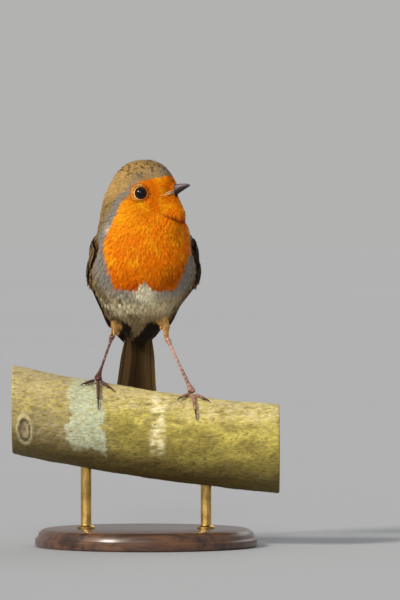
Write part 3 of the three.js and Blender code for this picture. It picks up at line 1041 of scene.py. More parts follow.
def feather_length(points):
    """The length of the feathers, in mm: least round the bill and eyes, most under the tail."""
    in_trunk = within(TRUNK, points)
    head = blend(4.4, 2.6, ease(points[:, 2], NECK_LOW, NECK_HIGH + 4 * MM))
    body = np.interp(in_trunk[:, 2], [-36, -28, -12, 4, 18], [7.5, 9.0, 8.0, 7.2, 5.6])
    length = blend(body, head, ease(points[:, 2], NECK_LOW - 8 * MM, NECK_HIGH))
    length = blend(length, 1.4, face_share(points)) + 1.5 * flank_share(points)
    length = blend(length, 3.6, wing_share(points))
    return blend(length, 3.9, thigh_share(points))


class Skin:
    """The skin's surface, for finding places on it."""

    def __init__(self, piece):
        mesh = piece.data
        mesh.calc_loop_triangles()
        self.points = places(mesh)
        self.normals = normals(mesh)
        self.corners, loops = np.empty((2, len(mesh.loop_triangles) * 3), np.int32)
        mesh.loop_triangles.foreach_get("vertices", self.corners)
        mesh.loop_triangles.foreach_get("loops", loops)
        self.corners = self.corners.reshape(-1, 3)
        unfolded = np.empty(len(mesh.loops) * 2, np.float32)
        mesh.uv_layers.active.data.foreach_get("uv", unfolded)
        self.unfolded = unfolded.reshape(-1, 2)[loops].reshape(-1, 3, 2).mean(1)
        self.tree = BVHTree.FromPolygons([Vector(p) for p in self.points], self.corners.tolist())
        self.facing = unit(self.normals[self.corners].mean(1))

    def nearest(self, points):
        """The nearest places on the skin, which way it faces there, and the triangles there."""
        found = [self.tree.find_nearest(Vector(p)) for p in points]
        index = np.array([f[2] for f in found])
        return np.array([f[0] for f in found]), self.facing[index], index

    def scatter(self, spacing_at):
        """Roots over the skin, about the asked spacing apart."""
        a, b, c = (self.points[self.corners[:, i]] for i in range(3))
        area = np.linalg.norm(np.cross(b - a, c - a), axis=1) / 2 / MM ** 2
        spacing = spacing_at((a + b + c) / 3)
        count = rng.poisson(CROWDING * area / spacing ** 2)
        index = np.repeat(np.arange(len(area)), count)
        u, v = rng.random((2, len(index)))
        flip = u + v > 1
        u[flip], v[flip] = 1 - u[flip], 1 - v[flip]
        roots = a[index] + (b - a)[index] * u[:, None] + (c - a)[index] * v[:, None]
        order = rng.permutation(len(roots))
        roots, index = roots[order], index[order]
        near = KDTree(len(roots))
        for i, root in enumerate(roots):
            near.insert(root, i)
        near.balance()
        alive = np.ones(len(roots), bool)
        reach = spacing[index] * MM * 0.8
        for i, root in enumerate(roots):
            if alive[i]:
                for _, j, _ in near.find_range(root, reach[i]):
                    if j > i:
                        alive[j] = False
        return roots[alive], index[alive]


def lid_roots(side):
    """Roots spread evenly over the feathered outside of an eye's lids, and which way it faces there."""
    share = (np.arange(LID["roots"]) + 0.5) / LID["roots"]
    inner, outer = (math.cos(math.radians(LID[key])) for key in ("bare", "skirt"))
    lift = blend(inner, outer, share)
    turn = np.arange(LID["roots"]) * math.pi * (3 - math.sqrt(5))
    flat = np.sqrt(1 - lift ** 2)
    local = np.stack([flat * np.cos(turn), flat * np.sin(turn), lift], -1)
    axes = np.array(facing_matrix(EYES[side], EYE_AIM[side]).to_3x3())
    out = local @ axes.T
    return np.array(EYES[side]) + out * LID["radius"] * MM, unit(0.55 * out + np.array(EYE_AIM[side]))


def paths_from(surface, roots, facing, length):
    """Each feather's line along the skin, as four places and which way it faces at each.

    A feather bends only a little, so it runs on straight where the skin turns away under it.
    """
    tilt = np.radians(rng.normal(0, WANDER, len(roots)))[:, None]
    step = (length / 3 * MM)[:, None]
    place = roots
    normal = facing
    line = [place]
    out = [normal]
    for _ in range(3):
        flow = lie(place, normal)
        flow = flow * np.cos(tilt) + np.cross(normal, flow) * np.sin(tilt)
        reached = place + flow * step
        nearest, turned, _ = surface.nearest(reached)
        drop = ((nearest - reached) * normal).sum(1, keepdims=True)
        place = reached + normal * np.clip(drop, -BEND * step, BEND * step)
        agrees = ((normal * turned).sum(1) > 0.6)[:, None]
        normal = np.where(agrees, unit(normal + turned), normal)
        line.append(place)
        out.append(normal)
    return np.stack(line, 1), np.stack(out, 1)


def lay_tufts(tuft, line, out, half, depth):
    """The points of many feathers of one pattern, laid along their lines and raised towards their tips."""
    across, along = tuft.points.T
    step = np.clip(along * 3, 0, 2.9999)
    first = step.astype(int)
    share = (along * 3 - first)[None, :, None]
    here = line[:, first] * (1 - share) + line[:, first + 1] * share
    normal = unit(out[:, first] * (1 - share) + out[:, first + 1] * share)
    forward = unit(line[:, first + 1] - line[:, first])
    side = unit(np.cross(forward, normal))
    each = (len(line), tuft.barbs)
    ragged = rng.normal(0, 0.22, each)[:, tuft.barb] * tuft.tip
    roll = rng.normal(0, 0.3, each)[:, tuft.barb] * tuft.edge
    stray = rng.normal(0, 0.12, each)[:, tuft.barb] * tuft.tip
    rise = depth[:, None] * along[None] ** 0.7 - 0.12 * across[None] ** 2 * half[:, None]
    rise = rise + roll * half[:, None]
    wide = (across[None] + stray) * half[:, None]
    ahead = ragged * half[:, None]
    shift = side * wide[..., None] + normal * rise[..., None] + forward * ahead[..., None]
    return here + shift * MM


BAKE_PATCH = 0.003  # the size of one feather on the bake map, of a map 1 across
TRIANGLES_PER_PIECE = 190000
UNDER_WING = 7  # mm from the skin to a wing that hides its feathers


def coat_mesh(name, tuft, points, colours, unfolded):
    """One mesh of many feathers, with their own map, their bake map and their markings."""
    count, size = points.shape[:2]
    faces = (tuft.faces[None] + (np.arange(count) * size)[:, None, None]).reshape(-1, 3)
    mesh = bpy.data.meshes.new(name)
    mesh.vertices.add(count * size)
    move_to(mesh, points.reshape(-1, 3))
    mesh.loops.add(faces.size)
    mesh.loops.foreach_set("vertex_index", faces.ravel().astype(np.int32))
    mesh.polygons.add(len(faces))
    mesh.polygons.foreach_set("loop_start", np.arange(0, faces.size, 3, dtype=np.int32))
    mesh.update(calc_edges=True)
    patch = (tuft.points - (0, 0.5)) * (BAKE_PATCH / 2, BAKE_PATCH)
    baked = (unfolded[:, None, :] + patch[None]).reshape(-1, 2)
    add_maps(mesh, faces, np.tile(tuft.points, (count, 1)), baked)
    paint(mesh, colours.reshape(-1, 3))
    shade_smooth(mesh)
    return mesh


def under_wings(line, out):
    """Whether a feather lies wholly under a wing."""
    nodes = [f"wing_{side}_{part}" for side in SIDES for part in WING_PARTS]
    root, tip = (struck(line[:, i], out[:, i], UNDER_WING, *nodes) for i in (0, 3))
    return root & tip


def bare(points, out):
    """Places with no tufts: eyes, bill, the trunk's hind end, and where the wings' coverts lie."""
    at_eye = from_nearer_eye(points) < EYE_RADIUS / MM + 0.3
    at_bill = gap_to(points, 0.5, *BILL) < 0.5
    in_trunk = within(TRUNK, points)
    hind_end = (in_trunk[:, 2] < -24) & (out @ direction(TRUNK, 0, 0, -1) > 0.8)
    behind = round_trunk(in_trunk) > np.interp(in_trunk[:, 2], [-6, -1], [88, 96])
    coverts = struck(points, out, COVERT_REACH, *COVERTS) & (in_trunk[:, 2] < 8) & behind
    return at_eye | at_bill | hind_end | coverts


COATS = (
    # name, pattern and the lengths of feather that it holds
    ("face_feathers", FINE, 0.0, 2.2),
    ("head_feathers", MEDIUM, 2.2, 4.6),
    ("body_feathers", SOFT, 4.6, 20.0),
)


def coat_roots(surface):
    """Where the feathers are rooted, which way the skin faces there, and on which triangle."""
    base, more_per_mm = ROOT_SPACING
    roots, index = surface.scatter(lambda middles: base + more_per_mm * feather_length(middles))
    facing = surface.facing[index]
    keep = ~bare(roots, facing)
    roots, facing, index = roots[keep], facing[keep], index[keep]
    for side in SIDES:
        more, more_out = lid_roots(side)
        roots = np.concatenate([roots, more])
        facing = np.concatenate([facing, more_out])
        index = np.concatenate([index, surface.nearest(more)[2]])
    return roots, facing, index


def grow_coat(skin, material):
    """All the small feathers: their lines along the skin, their rise and their colours."""
    surface = Skin(skin)
    roots, facing, index = coat_roots(surface)
    length = feather_length(roots) * rng.normal(1, 0.07, len(roots))
    for _ in range(2):  # feathers that would hang off an edge are laid again at half the length
        line, out = paths_from(surface, roots, facing, length)
        off = np.linalg.norm(line[:, 3] - surface.nearest(line[:, 3])[0], axis=1) > OVERHANG * MM
        off = off & (thigh_share(roots) < 0.5)
        length = np.where(off, length / 2, length)
    keep = ~(under_wings(line, out) | off)
    line, out, length, index = line[keep], out[keep], length[keep], index[keep]
    depth = coat_depth(line[:, 3]) + FLANK_PUFF * flank_share(line[:, 1])
    in_trunk = within(TRUNK, line[:, 1])
    depth = depth + RUFFLED_RISE * spot(in_trunk, *RUFFLED) * parted(in_trunk)
    stray = rng.normal(1, 0.1, len(line)), rng.exponential(RUFFLE, len(line))
    depth = depth * stray[0] + stray[1] * (length > SMALLEST_RUFFLED)
    colours = plumage_colour(blend(line[:, 2], line[:, 3], 0.5))
    laid = (line, out, length, depth, colours, surface.unfolded[index])
    legs = thigh_share(line[:, 1]) > 0.5
    for name, tuft, shortest, longest in COATS:
        chosen = np.nonzero((length >= shortest) & (length < longest) & ~legs)[0]
        dress(name, tuft, chosen, laid, material)
    dress("thigh_feathers", MEDIUM, np.nonzero(legs)[0], laid, material)


def dress(name, tuft, chosen, laid, material):
    """The coat pieces of one pattern, from the lowest feathers up, each within the triangle limit."""
    pieces = max(1, math.ceil(len(chosen) * len(tuft.faces) / TRIANGLES_PER_PIECE))
    ordered = chosen[np.argsort(laid[0][chosen, 0, 2])]
    for k, group in enumerate(np.array_split(ordered, pieces)):
        line, out, length, depth, colours, unfolded = (values[group] for values in laid)
        points = lay_tufts(tuft, line, out, length * TUFT_SLIMNESS, depth)
        shades = rng.normal(1, 0.09, (len(group), tuft.barbs))[:, tuft.barb, None]
        shades = shades * colours[:, None] * rng.normal(1, 0.05, (len(group), 1, 1))
        mesh = coat_mesh(f"{name}_{k + 1}", tuft, points, shades, unfolded)
        new_piece(mesh.name, mesh, material)


# ---- eyes and lids ----

# The lids follow a sphere round the eyeball. Their angles are from the aim of the eye, in degrees.
LID = {"radius": 3.68, "opening": 52, "bare": 56, "skirt": 86, "wall": 0.14, "rim": 0.17, "roots": 520}
PUPIL_ANGLE = 26  # from the eye's aim to the edge of the pupil, in degrees
IRIS_ANGLE = 48  # and to the edge of the iris
CORNEA = 0.12  # how far the clear front bulges, mm

LID_FRONT = tint(206, 112, 30)
LID_BACK = tint(252, 216, 140)
IRIS = tint(38, 16, 10)
PUPIL = tint(4, 3, 6)


def eye_finish():
    """A wet eyeball, with fine fibres in the iris."""
    return marked_finish("eye_gloss", 0.25, (0.18, 3), (0.3, 0.7, 0.7, 1.3), (0.03, 0.08))


def horn_finish(name, roughness, streak_size, relief):
    """Lids, bill, legs and claws: markings with fine streaks, and a waxy shine."""
    shine = (roughness - 0.08, roughness + 0.12)
    return marked_finish(name, 0.35, (streak_size, 4), (0.3, 0.7, 0.75, 1.2), shine, (relief, 0.4))


def angle_from_aim(points, side):
    """Degrees between the way an eye looks and the way to each point from its middle."""
    aim = unit(points - np.array(EYES[side])) @ np.array(EYE_AIM[side])
    return np.degrees(np.arccos(np.clip(aim, -1, 1)))


def make_eye(side, material):
    shape = bmesh.new()
    bmesh.ops.create_uvsphere(shape, u_segments=56, v_segments=36, radius=EYE_RADIUS)
    for vertex in shape.verts:
        angle = math.degrees(vertex.co.angle(Vector((0, 0, 1))))
        vertex.co *= 1 + CORNEA * MM / EYE_RADIUS * (1 - float(ease(angle, 15, 55)))
    shape.transform(facing_matrix(EYES[side], EYE_AIM[side]))
    mesh = mesh_from(shape, f"eyeball_{side}")
    angle = angle_from_aim(places(mesh), side)
    ring = ease(angle, PUPIL_ANGLE, PUPIL_ANGLE + 3) * fade(angle, IRIS_ANGLE, IRIS_ANGLE + 5)
    paint(mesh, over(plain(PUPIL, angle), IRIS, ring))
    eye = new_piece(f"eyeball_{side}", mesh, material)
    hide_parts(f"eye_{side}")


def on_arc(radius, degrees):
    """A lathe point, (radius, height), at an angle from the axis."""
    turn = math.radians(degrees)
    return radius * math.sin(turn), radius * math.cos(turn)


def lid_profile():
    """Up the outside of the lids, round their rolled rim and down the inside."""
    outer = LID["radius"]
    inner = outer - LID["wall"]
    angles = np.linspace(LID["skirt"], LID["opening"] + 5, 12)
    profile = [on_arc(outer, angle) for angle in angles]
    middle = on_arc(outer - 0.02, LID["opening"] + 1.5)
    for turn in np.linspace(0.35, 1.65, 9) * math.pi:
        profile.append((middle[0] + LID["rim"] * math.cos(turn), middle[1] + LID["rim"] * math.sin(turn)))
    return profile + [on_arc(inner, angle) for angle in angles[::-1]]


def make_lid(side, material):
    """The lids: a thin cap round the eyeball with a rolled rim at its opening."""
    shape = spun(lid_profile(), 96, closed=True)
    shape.transform(facing_matrix(EYES[side], EYE_AIM[side]))
    mesh = mesh_from(shape, f"lid_{side}")
    co = places(mesh)
    ahead = -within(HEAD, co)[:, 1]
    rim = over(plain(LID_FRONT, co), LID_BACK, fade(ahead, -2.5, 1.5))
    feathered = ease(angle_from_aim(co, side), LID["bare"], LID["bare"] + 4)[:, None]
    paint(mesh, blend(rim, plumage_colour(co), feathered))
    new_piece(f"lid_{side}", mesh, material)


# ---- bill ----

BILL_HORN = tint(104, 84, 92)
BILL_RIDGE = tint(74, 60, 68)
BILL_PALE = tint(214, 180, 134)
BILL_TIP_COLOUR = tint(34, 22, 26)
GAPE_ORANGE = tint(222, 146, 74)
MOUTH_GAP = 0.13  # mm that the halves swell towards each other, so that the bill is shut
NOSTRIL = {"ahead": 13.2, "up": 0.55, "long": 0.95, "high": 0.34, "deep": 0.36}
# The yellow flange at the corner of the mouth, from its back forwards: y, z and radius in the head's
# frame, and how far out it lies on each side, in mm.
GAPE = (
    (-8.0, -2.15, 0.12),
    (-9.3, -1.9, 0.4),
    (-10.8, -1.5, 0.68),
    (-12.0, -1.1, 0.85),
    (-13.2, -0.7, 0.8),
)
GAPE_OUT = {"right": (8.0, 7.1, 5.8, 4.6, 3.3), "left": (6.6, 5.3, 3.8, 2.3, 0.9)}
GAPE_FLAT = 0.5  # how thick it is across the head, over its height


def make_bill(half, material):
    """Half of the bill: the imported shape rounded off, with the nostrils sunk into the upper half."""
    shape = merged_copy(f"bill_{half}")
    creases = shape.edges.layers.float.new("crease_edge")
    for edge in shape.edges:
        if len(edge.link_faces) == 2 and edge.calc_face_angle() > math.radians(50):
            edge[creases] = 0.8
    mesh = rounded(shape, f"bill_{half}_horn", 3)
    co = places(mesh)
    inside = within(HEAD, co)
    ahead = -inside[:, 1]
    up = inside[:, 2]
    over_edge = up - np.interp(ahead, [7, 9, 20], [-1.2, -1.1, 1.3])
    shut = MOUTH_GAP * np.exp(-((over_edge / 0.35) ** 2)) * MM
    co = co + np.array(HEAD_UP) * (shut if half == "lower" else -shut)[:, None]
    move_to(mesh, co)
    if half == "upper":
        along = (ahead - NOSTRIL["ahead"]) / NOSTRIL["long"]
        across = (up - NOSTRIL["up"]) / NOSTRIL["high"]
        dent = np.exp(-(along ** 2 + across ** 2)) * (np.abs(inside[:, 0]) > 0.8)
        move_to(mesh, co - normals(mesh) * (dent * NOSTRIL["deep"] * MM)[:, None])
        colours = layered(
            plain(BILL_HORN, co),
            (BILL_RIDGE, ease(over_edge, 1.4, 2.8) * 0.7),
            (BILL_PALE, fade(over_edge, 0.5, 1.1) * fade(ahead, 12.5, 15)),
            (BILL_TIP_COLOUR, fade(over_edge, 0.3, 1.1) * ease(ahead, 13, 16)),
            # painted shade: the sunk nostrils are painted dark
            (BILL_TIP_COLOUR, dent * 0.9 + 0.35 * ease(ahead, 14, 20.4)),
        )
    else:
        colours = over(plain(BILL_PALE, co), BILL_TIP_COLOUR, ease(ahead, 10.2, 13.0))
    paint(mesh, colours)
    piece = new_piece(f"bill_{half}_horn", mesh, material)
    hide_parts(f"bill_{half}")


def make_gape(side, material):
    """The soft yellow corner of the mouth, with the dark line where it shuts, which is painted shade."""
    sign = 1 if side == "left" else -1
    stations = [HEAD @ (Vector((sign * x, y, z)) * MM) for x, (y, z, _) in zip(GAPE_OUT[side], GAPE)]
    mesh = rounded(swept(stations, [radius * MM for *_, radius in GAPE], 16), f"gape_{side}", 3)
    inside = within(HEAD, places(mesh))
    back, up = (np.array([station[i] for station in GAPE]) for i in (0, 1))
    middle = sign * np.interp(inside[:, 1], back[::-1], GAPE_OUT[side][::-1])
    over_line = inside[:, 2] - np.interp(inside[:, 1], back[::-1], up[::-1])
    # painted shade along the line where the mouth shuts, which is also carved in
    shut = np.exp(-(((over_line - 0.12) / 0.15) ** 2)) * fade(inside[:, 1], -9.5, -8.4)
    inward = (middle - inside[:, 0]) * (1 - GAPE_FLAT) - sign * 0.22 * shut
    flat = np.stack([inward, 0 * shut, 0 * shut], -1)
    co = places(mesh) + flat * MM @ np.array(HEAD.to_3x3()).T
    move_to(mesh, co)
    colours = over(plain(GAPE_ORANGE, co), BILL_PALE, 0.45 + speckle(co, 0.6))
    front = ease(-inside[:, 1], 11.2, 13.0)
    paint(mesh, layered(colours, (BILL_HORN, 0.8 * front), (BILL_TIP_COLOUR, 0.9 * shut)))
    new_piece(f"gape_{side}", mesh, material)


# ---- legs ----

TOES = ("hallux", "inner", "middle", "outer")
LEG_SWELL = 0.22  # mm that the toes and shank swell by, to grow into one foot
SCUTE = {"tarsus": 2.1, "toe": 0.95}  # mm from one horny plate to the next
SCUTE_DEEP = 0.09  # mm
SHANK_SLIM = 0.2  # mm that the shank is slimmer than its solid
SHANK_FOOT = (78, 82)  # mm over the floor, where the foot turns into the shank
PALM = (1.9, 2.3, 1.35)  # mm, half the size of the ball of the foot
LEG_GRID = 0.17  # mm
LEG_PINK = tint(204, 156, 136)
LEG_BROWN = tint(84, 50, 44)
CLAW_HORN = tint(46, 36, 32)


def lowest_ring(node):
    """The middle of a solid's lowest end."""
    points = points_of(node)
    low = points[points[:, 2] < points[:, 2].min() + 1.6 * MM]
    return Vector(low.mean(0))


def foot_mesh(side, toes):
    """The shank and toes grown together round the ball of the foot."""
    shape = merged_copy(f"tarsus_{side}", *toes)
    swell(shape, LEG_SWELL)
    foot = facing_matrix(lowest_ring(f"tarsus_{side}"), (0, 0, 1))
    palm = foot @ Matrix.Diagonal((*PALM, 1)) @ Matrix.Scale(MM, 4)
    bmesh.ops.create_icosphere(shape, subdivisions=3, radius=1, matrix=palm)
    return regridded(shape, f"leg_{side}", LEG_GRID, 6)


def scutes_on(co, nodes):
    """The relief of the plates across shank and toes: 1 on a plate, 0 in the joints between them."""
    solids = {node: points_of(node) for node in nodes}
    owners = [node for node in nodes for _ in solids[node]]
    nearest = KDTree(len(owners))
    for i, point in enumerate(np.concatenate(list(solids.values()))):
        nearest.insert(point, i)
    nearest.balance()
    owner = np.array([owners[nearest.find(Vector(p))[1]] for p in co])
    scutes = np.zeros(len(co))
    for node, points in solids.items():
        mine = owner == node
        axis = np.linalg.svd(points - points.mean(0), full_matrices=False)[2][0]
        along = (co[mine] @ axis) / MM / SCUTE[node.split("_")[0]]
        scutes[mine] = 1 - np.abs((along % 1) * 2 - 1) ** 4
    return scutes


def make_leg(side, material):
    """The bare leg and its toes as one skin, with scutes across their upper sides."""
    toes = [f"toe_{toe}_{side}" for toe in TOES]
    mesh = foot_mesh(side, toes)
    co = places(mesh)
    out = normals(mesh)
    scutes = scutes_on(co, [f"tarsus_{side}", *toes])
    upper = ease(out[:, 2] - 0.6 * out[:, 1], -0.3, 0.4)
    height = co[:, 2] / MM
    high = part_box(f"tarsus_{side}")[1].z / MM
    slim = LEG_SWELL * 0.8 + SHANK_SLIM * ease(height, *SHANK_FOOT)
    slim = slim * (1 - 0.7 * ease(height, high - 4, high - 1))
    move_to(mesh, co + out * ((scutes * upper * SCUTE_DEEP - slim) * MM)[:, None])
    # painted shade: the right leg is painted darker than the left
    painted_shade = 0.7 if side == "right" else 0.0
    tone = 0.12 + painted_shade + 0.5 * speckle(co, 1.4) + 0.6 * (1 - scutes)
    tone = tone + 0.4 * fade(height, 77, 87)
    paint(mesh, over(plain(LEG_PINK, co), LEG_BROWN, tone))
    leg = new_piece(f"leg_{side}", mesh, material)
    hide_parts(f"tarsus_{side}", *toes)


def make_claws(side, material):
    for toe in TOES:
        mesh = rounded(merged_copy(f"claw_{toe}_{side}"), f"claw_{toe}_{side}_horn", 2)
        co = places(mesh)
        paint(mesh, over(plain(CLAW_HORN, co), LEG_BROWN, 0.4 + speckle(co, 0.8)))
        claw = new_piece(mesh.name, mesh, material)
        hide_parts(f"claw_{toe}_{side}")


# ---- long feathers ----

COVERT_BROWN = tint(114, 86, 52)
COVERT_EDGE = tint(138, 112, 70)
TIP_BUFF = tint(200, 164, 108)
VANE_ACROSS = np.array([-1, -0.8, -0.4, -0.06, 0, 0.06, 0.4, 0.8, 1.0])  # columns of a feather's mesh
SHAFT_RISE = 0.12  # mm


def vane_grid(line, out, half, lift, inward, lean=0.0, camber=0.1, blunt=0.8):
    """One long feather on its line: rows of points from edge to edge, with a raised shaft.

    Its edges bend down by `camber` of its half width. A lean above 0 narrows the vane that
    faces away from `inward`.
    """
    along = np.linspace(0, 1, len(line))
    taper = np.where(along > blunt, np.sqrt(np.clip(1 - ((along - blunt) / (1 - blunt)) ** 2, 0, 1)), 1)
    taper = taper * (0.45 + 0.55 * ease(along, 0, 0.3))
    forward = unit(np.gradient(line, axis=0))
    side = unit(np.cross(out, forward))
    side = side * np.sign((side * inward).sum(-1, keepdims=True))
    widths = np.where(VANE_ACROSS < 0, 1 - lean, 1 + lean)
    across = VANE_ACROSS[None] * widths[None] * (half * np.maximum(taper, 0.04))[:, None]
    rise = lift[:, None] - camber * (VANE_ACROSS[None] ** 2) * half
    rise = rise + SHAFT_RISE * (np.abs(VANE_ACROSS[None]) < 0.02) * (1 - along[:, None] * 0.7)
    grid = line[:, None] + side[:, None] * (across * MM)[..., None]
    return grid + out[:, None] * (rise * MM)[..., None]


def quill_mesh(name, feathers):
    """One mesh of long feathers, each with its own strip of the bake map.

    A feather is given as (points, colours), both by row along it and column across it.
    """
    points = []
    colours = []
    faces = []
    own = []
    baked = []
    strips = math.ceil(math.sqrt(len(feathers) * 3))
    shelves = math.ceil(len(feathers) / strips)
    start = 0
    for k, (grid, shades) in enumerate(feathers):
        rows, columns = grid.shape[:2]
        points.append(grid.reshape(-1, 3))
        colours.append(shades.reshape(-1, 3))
        index = start + np.arange(rows * columns).reshape(rows, columns)
        start += rows * columns
        corners = (index[:-1, :-1], index[1:, :-1], index[1:, 1:], index[:-1, 1:])
        faces.append(np.stack(corners, -1).reshape(-1, 4))
        u, v = np.broadcast_arrays(VANE_ACROSS[None], np.linspace(0, 1, rows)[:, None])
        own.append(np.stack([u, v], -1).reshape(-1, 2))
        column, shelf = k % strips, k // strips
        strip = np.stack([(column + 0.5 + u * 0.42) / strips, (shelf + 0.06 + v * 0.88) / shelves], -1)
        baked.append(strip.reshape(-1, 2))
    faces = np.concatenate(faces)
    mesh = bpy.data.meshes.new(name)
    mesh.from_pydata(np.concatenate(points).tolist(), [], faces.tolist())
    add_maps(mesh, faces, np.concatenate(own), np.concatenate(baked))
    paint(mesh, np.concatenate(colours))
    shade_smooth(mesh)
    return mesh


def quill_shades(rows, centre, edge, tip=None, edge_width=0.3, outer_only=False):
    """Colours over one long feather: a darker middle, paler edges and perhaps a pale tip."""
    across, along = np.broadcast_arrays(VANE_ACROSS[None], np.linspace(0, 1, rows)[:, None])
    rim = ease(np.abs(across), 1 - edge_width - 0.3, 1.0)
    if outer_only:
        rim = rim * (across < 0)
    shades = centre + (edge - centre) * rim[..., None]
    if tip is not None:
        pale = ease(along, 0.8, 0.95) * (0.4 + 0.6 * np.abs(across))
        shades = shades + (tip - shades) * pale[..., None]
    return shades * rng.normal(1, 0.06)


def face_out(mesh, outward):
    """Turns the long feathers' faces to the side that `outward` gives for a place."""
    shape = bmesh.new()
    shape.from_mesh(mesh)
    wrong = [f for f in shape.faces if f.normal.dot(outward(f.calc_center_median())) < 0]
    if len(wrong) * 2 > len(shape.faces):
        bmesh.ops.reverse_faces(shape, faces=shape.faces)
    shape.to_mesh(mesh)
    shape.free()


# ---- wings ----

class Shell:
    """The outer face of a folded wing, by height along the trunk in mm and angle round it in degrees.

    The angle is 0 in the middle of the back.
    """

    TUCK_HEIGHTS = (-34, -11, 0, 8, 16)
    TUCK = {"left": (3.4, 1.0, 0.4, 1.7, 3.6), "right": (2.4, 1.2, 1.0, 1.6, 3.4)}  # mm closer to the body
    FOLD = {"left": 18, "right": 14}  # degrees that each wing's tip is folded further over the back
    HEIGHT_STEP = 1.5
    ANGLE_STEP = 3.0
    HEIGHTS = np.arange(-46, 18.1, HEIGHT_STEP)
    ANGLES = np.arange(-6, 129, ANGLE_STEP)
    FAR = 60  # mm from the trunk's axis, well outside the wing

    def __init__(self, side):
        self.sign = 1 if side == "left" else -1
        tree = tree_of(*(f"wing_{side}_{part}" for part in WING_PARTS))
        reach = np.array([[self.ray(tree, z, a) for a in self.ANGLES] for z in self.HEIGHTS])
        reach = np.array([filled(row) for row in reach])
        self.reach = np.array([filled(column) for column in reach.T]).T
        for _ in range(3):
            padded = np.pad(self.reach, 1, mode="edge")
            beside = padded[:-2, 1:-1] + padded[2:, 1:-1] + padded[1:-1, :-2] + padded[1:-1, 2:]
            self.reach = 0.5 * self.reach + 0.125 * beside
        self.reach -= np.interp(self.HEIGHTS, self.TUCK_HEIGHTS, self.TUCK[side])[:, None]
        self.fold = self.FOLD[side]

    def outward(self, angle):
        turn = np.radians(angle)
        return np.stack([self.sign * np.sin(turn), np.cos(turn), 0 * turn], -1)

    def ray(self, tree, height, angle):
        """How far from the trunk's axis the wing's outer face lies, or nan where there is none."""
        out = Vector(self.outward(np.array(angle)))
        start = TRUNK @ ((Vector((0, 0, height)) + out * self.FAR) * MM)
        hit = tree.ray_cast(start, -(TRUNK.to_3x3() @ out))
        return self.FAR - hit[3] / MM if hit[0] else math.nan

    def at(self, height, angle):
        """The world place on the face at a height and angle."""
        i = np.clip((height - self.HEIGHTS[0]) / self.HEIGHT_STEP, 0, len(self.HEIGHTS) - 1.001)
        j = np.clip((angle - self.ANGLES[0]) / self.ANGLE_STEP, 0, len(self.ANGLES) - 1.001)
        i0, j0 = i.astype(int), j.astype(int)
        di, dj = i - i0, j - j0
        low = self.reach[i0, j0] * (1 - dj) + self.reach[i0, j0 + 1] * dj
        high = self.reach[i0 + 1, j0] * (1 - dj) + self.reach[i0 + 1, j0 + 1] * dj
        local = self.outward(angle) * (low * (1 - di) + high * di)[..., None]
        local[..., 2] = height
        return local * MM @ np.array(TRUNK.to_3x3()).T + np.array(TRUNK.translation)

    def facing(self, height, angle):
        down = self.at(height - 1.5, angle) - self.at(height + 1.5, angle)
        around = self.at(height, angle + 4) - self.at(height, angle - 4)
        return unit(np.cross(down, around)) * self.sign

    def feather(self, start, end, half, lift, stations=16, ease_in=1.0, **shape):
        """A feather from one (height, angle) to another, lifted off the face by lift[0] to lift[1] mm."""
        share = np.linspace(0, 1, stations)
        height = blend(start[0], end[0], share)
        angle = blend(start[1], end[1], share ** ease_in)
        rise = blend(lift[0], lift[1], share)
        inward = self.at(height, angle - 2) - self.at(height, angle + 2)
        return vane_grid(self.at(height, angle), self.facing(height, angle), half, rise, inward, **shape)


def filled(values):
    """Values with their gaps closed from their neighbours."""
    known = ~np.isnan(values)
    index = np.arange(len(values))
    return np.interp(index, index[known], values[known]) if known.any() else values


PRIMARY_TIPS = (
    # (height, angle), from the wing's edge inwards
    (-30, 80), (-37, 67), (-42, 58), (-44, 51), (-44, 45),
    (-43.5, 39), (-43, 33), (-42.5, 28), (-42, 23), (-41, 18),
)
SECONDARIES = 6
TERTIALS = (((0, 47), (-27, 30)), ((0, 41), (-22, 26)), ((0, 36), (-16, 24)))  # root and tip
ALULA_TIPS = ((-11, 98), (-8, 100))
SMALL_COVERT = (COVERT_BROWN, COVERT_EDGE, COVERT_EDGE)  # middle, edge and tip
GREAT_COVERT = (QUILL_BROWN, QUILL_EDGE, blend(QUILL_EDGE, TIP_BUFF, 0.6))
# Each row of coverts: how many, the first and last one's root and tip, half the width, the lift over the
# wing's face at root and tip, and the colours.
COVERT_ROWS = (
    (6, ((-1, 99), (-3, 82)), ((-14, 97), (-15, 80)), 1.8, (-0.6, 0.1), SMALL_COVERT),
    (11, ((3, 92), (1, 30)), ((-10, 86), (-12, 33)), 2.7, (-0.5, 0.35), GREAT_COVERT),
    (11, ((9, 97), (7, 30)), ((-3, 92), (-5, 33)), 2.6, (-1.0, 0.3), SMALL_COVERT),
    (12, ((13, 99), (11, 31)), ((4, 96), (2, 33)), 2.5, (-2.6, 0.0), SMALL_COVERT),
)
COVERT_SPREAD = 0.8  # how unevenly the coverts' tips lie, mm and degrees


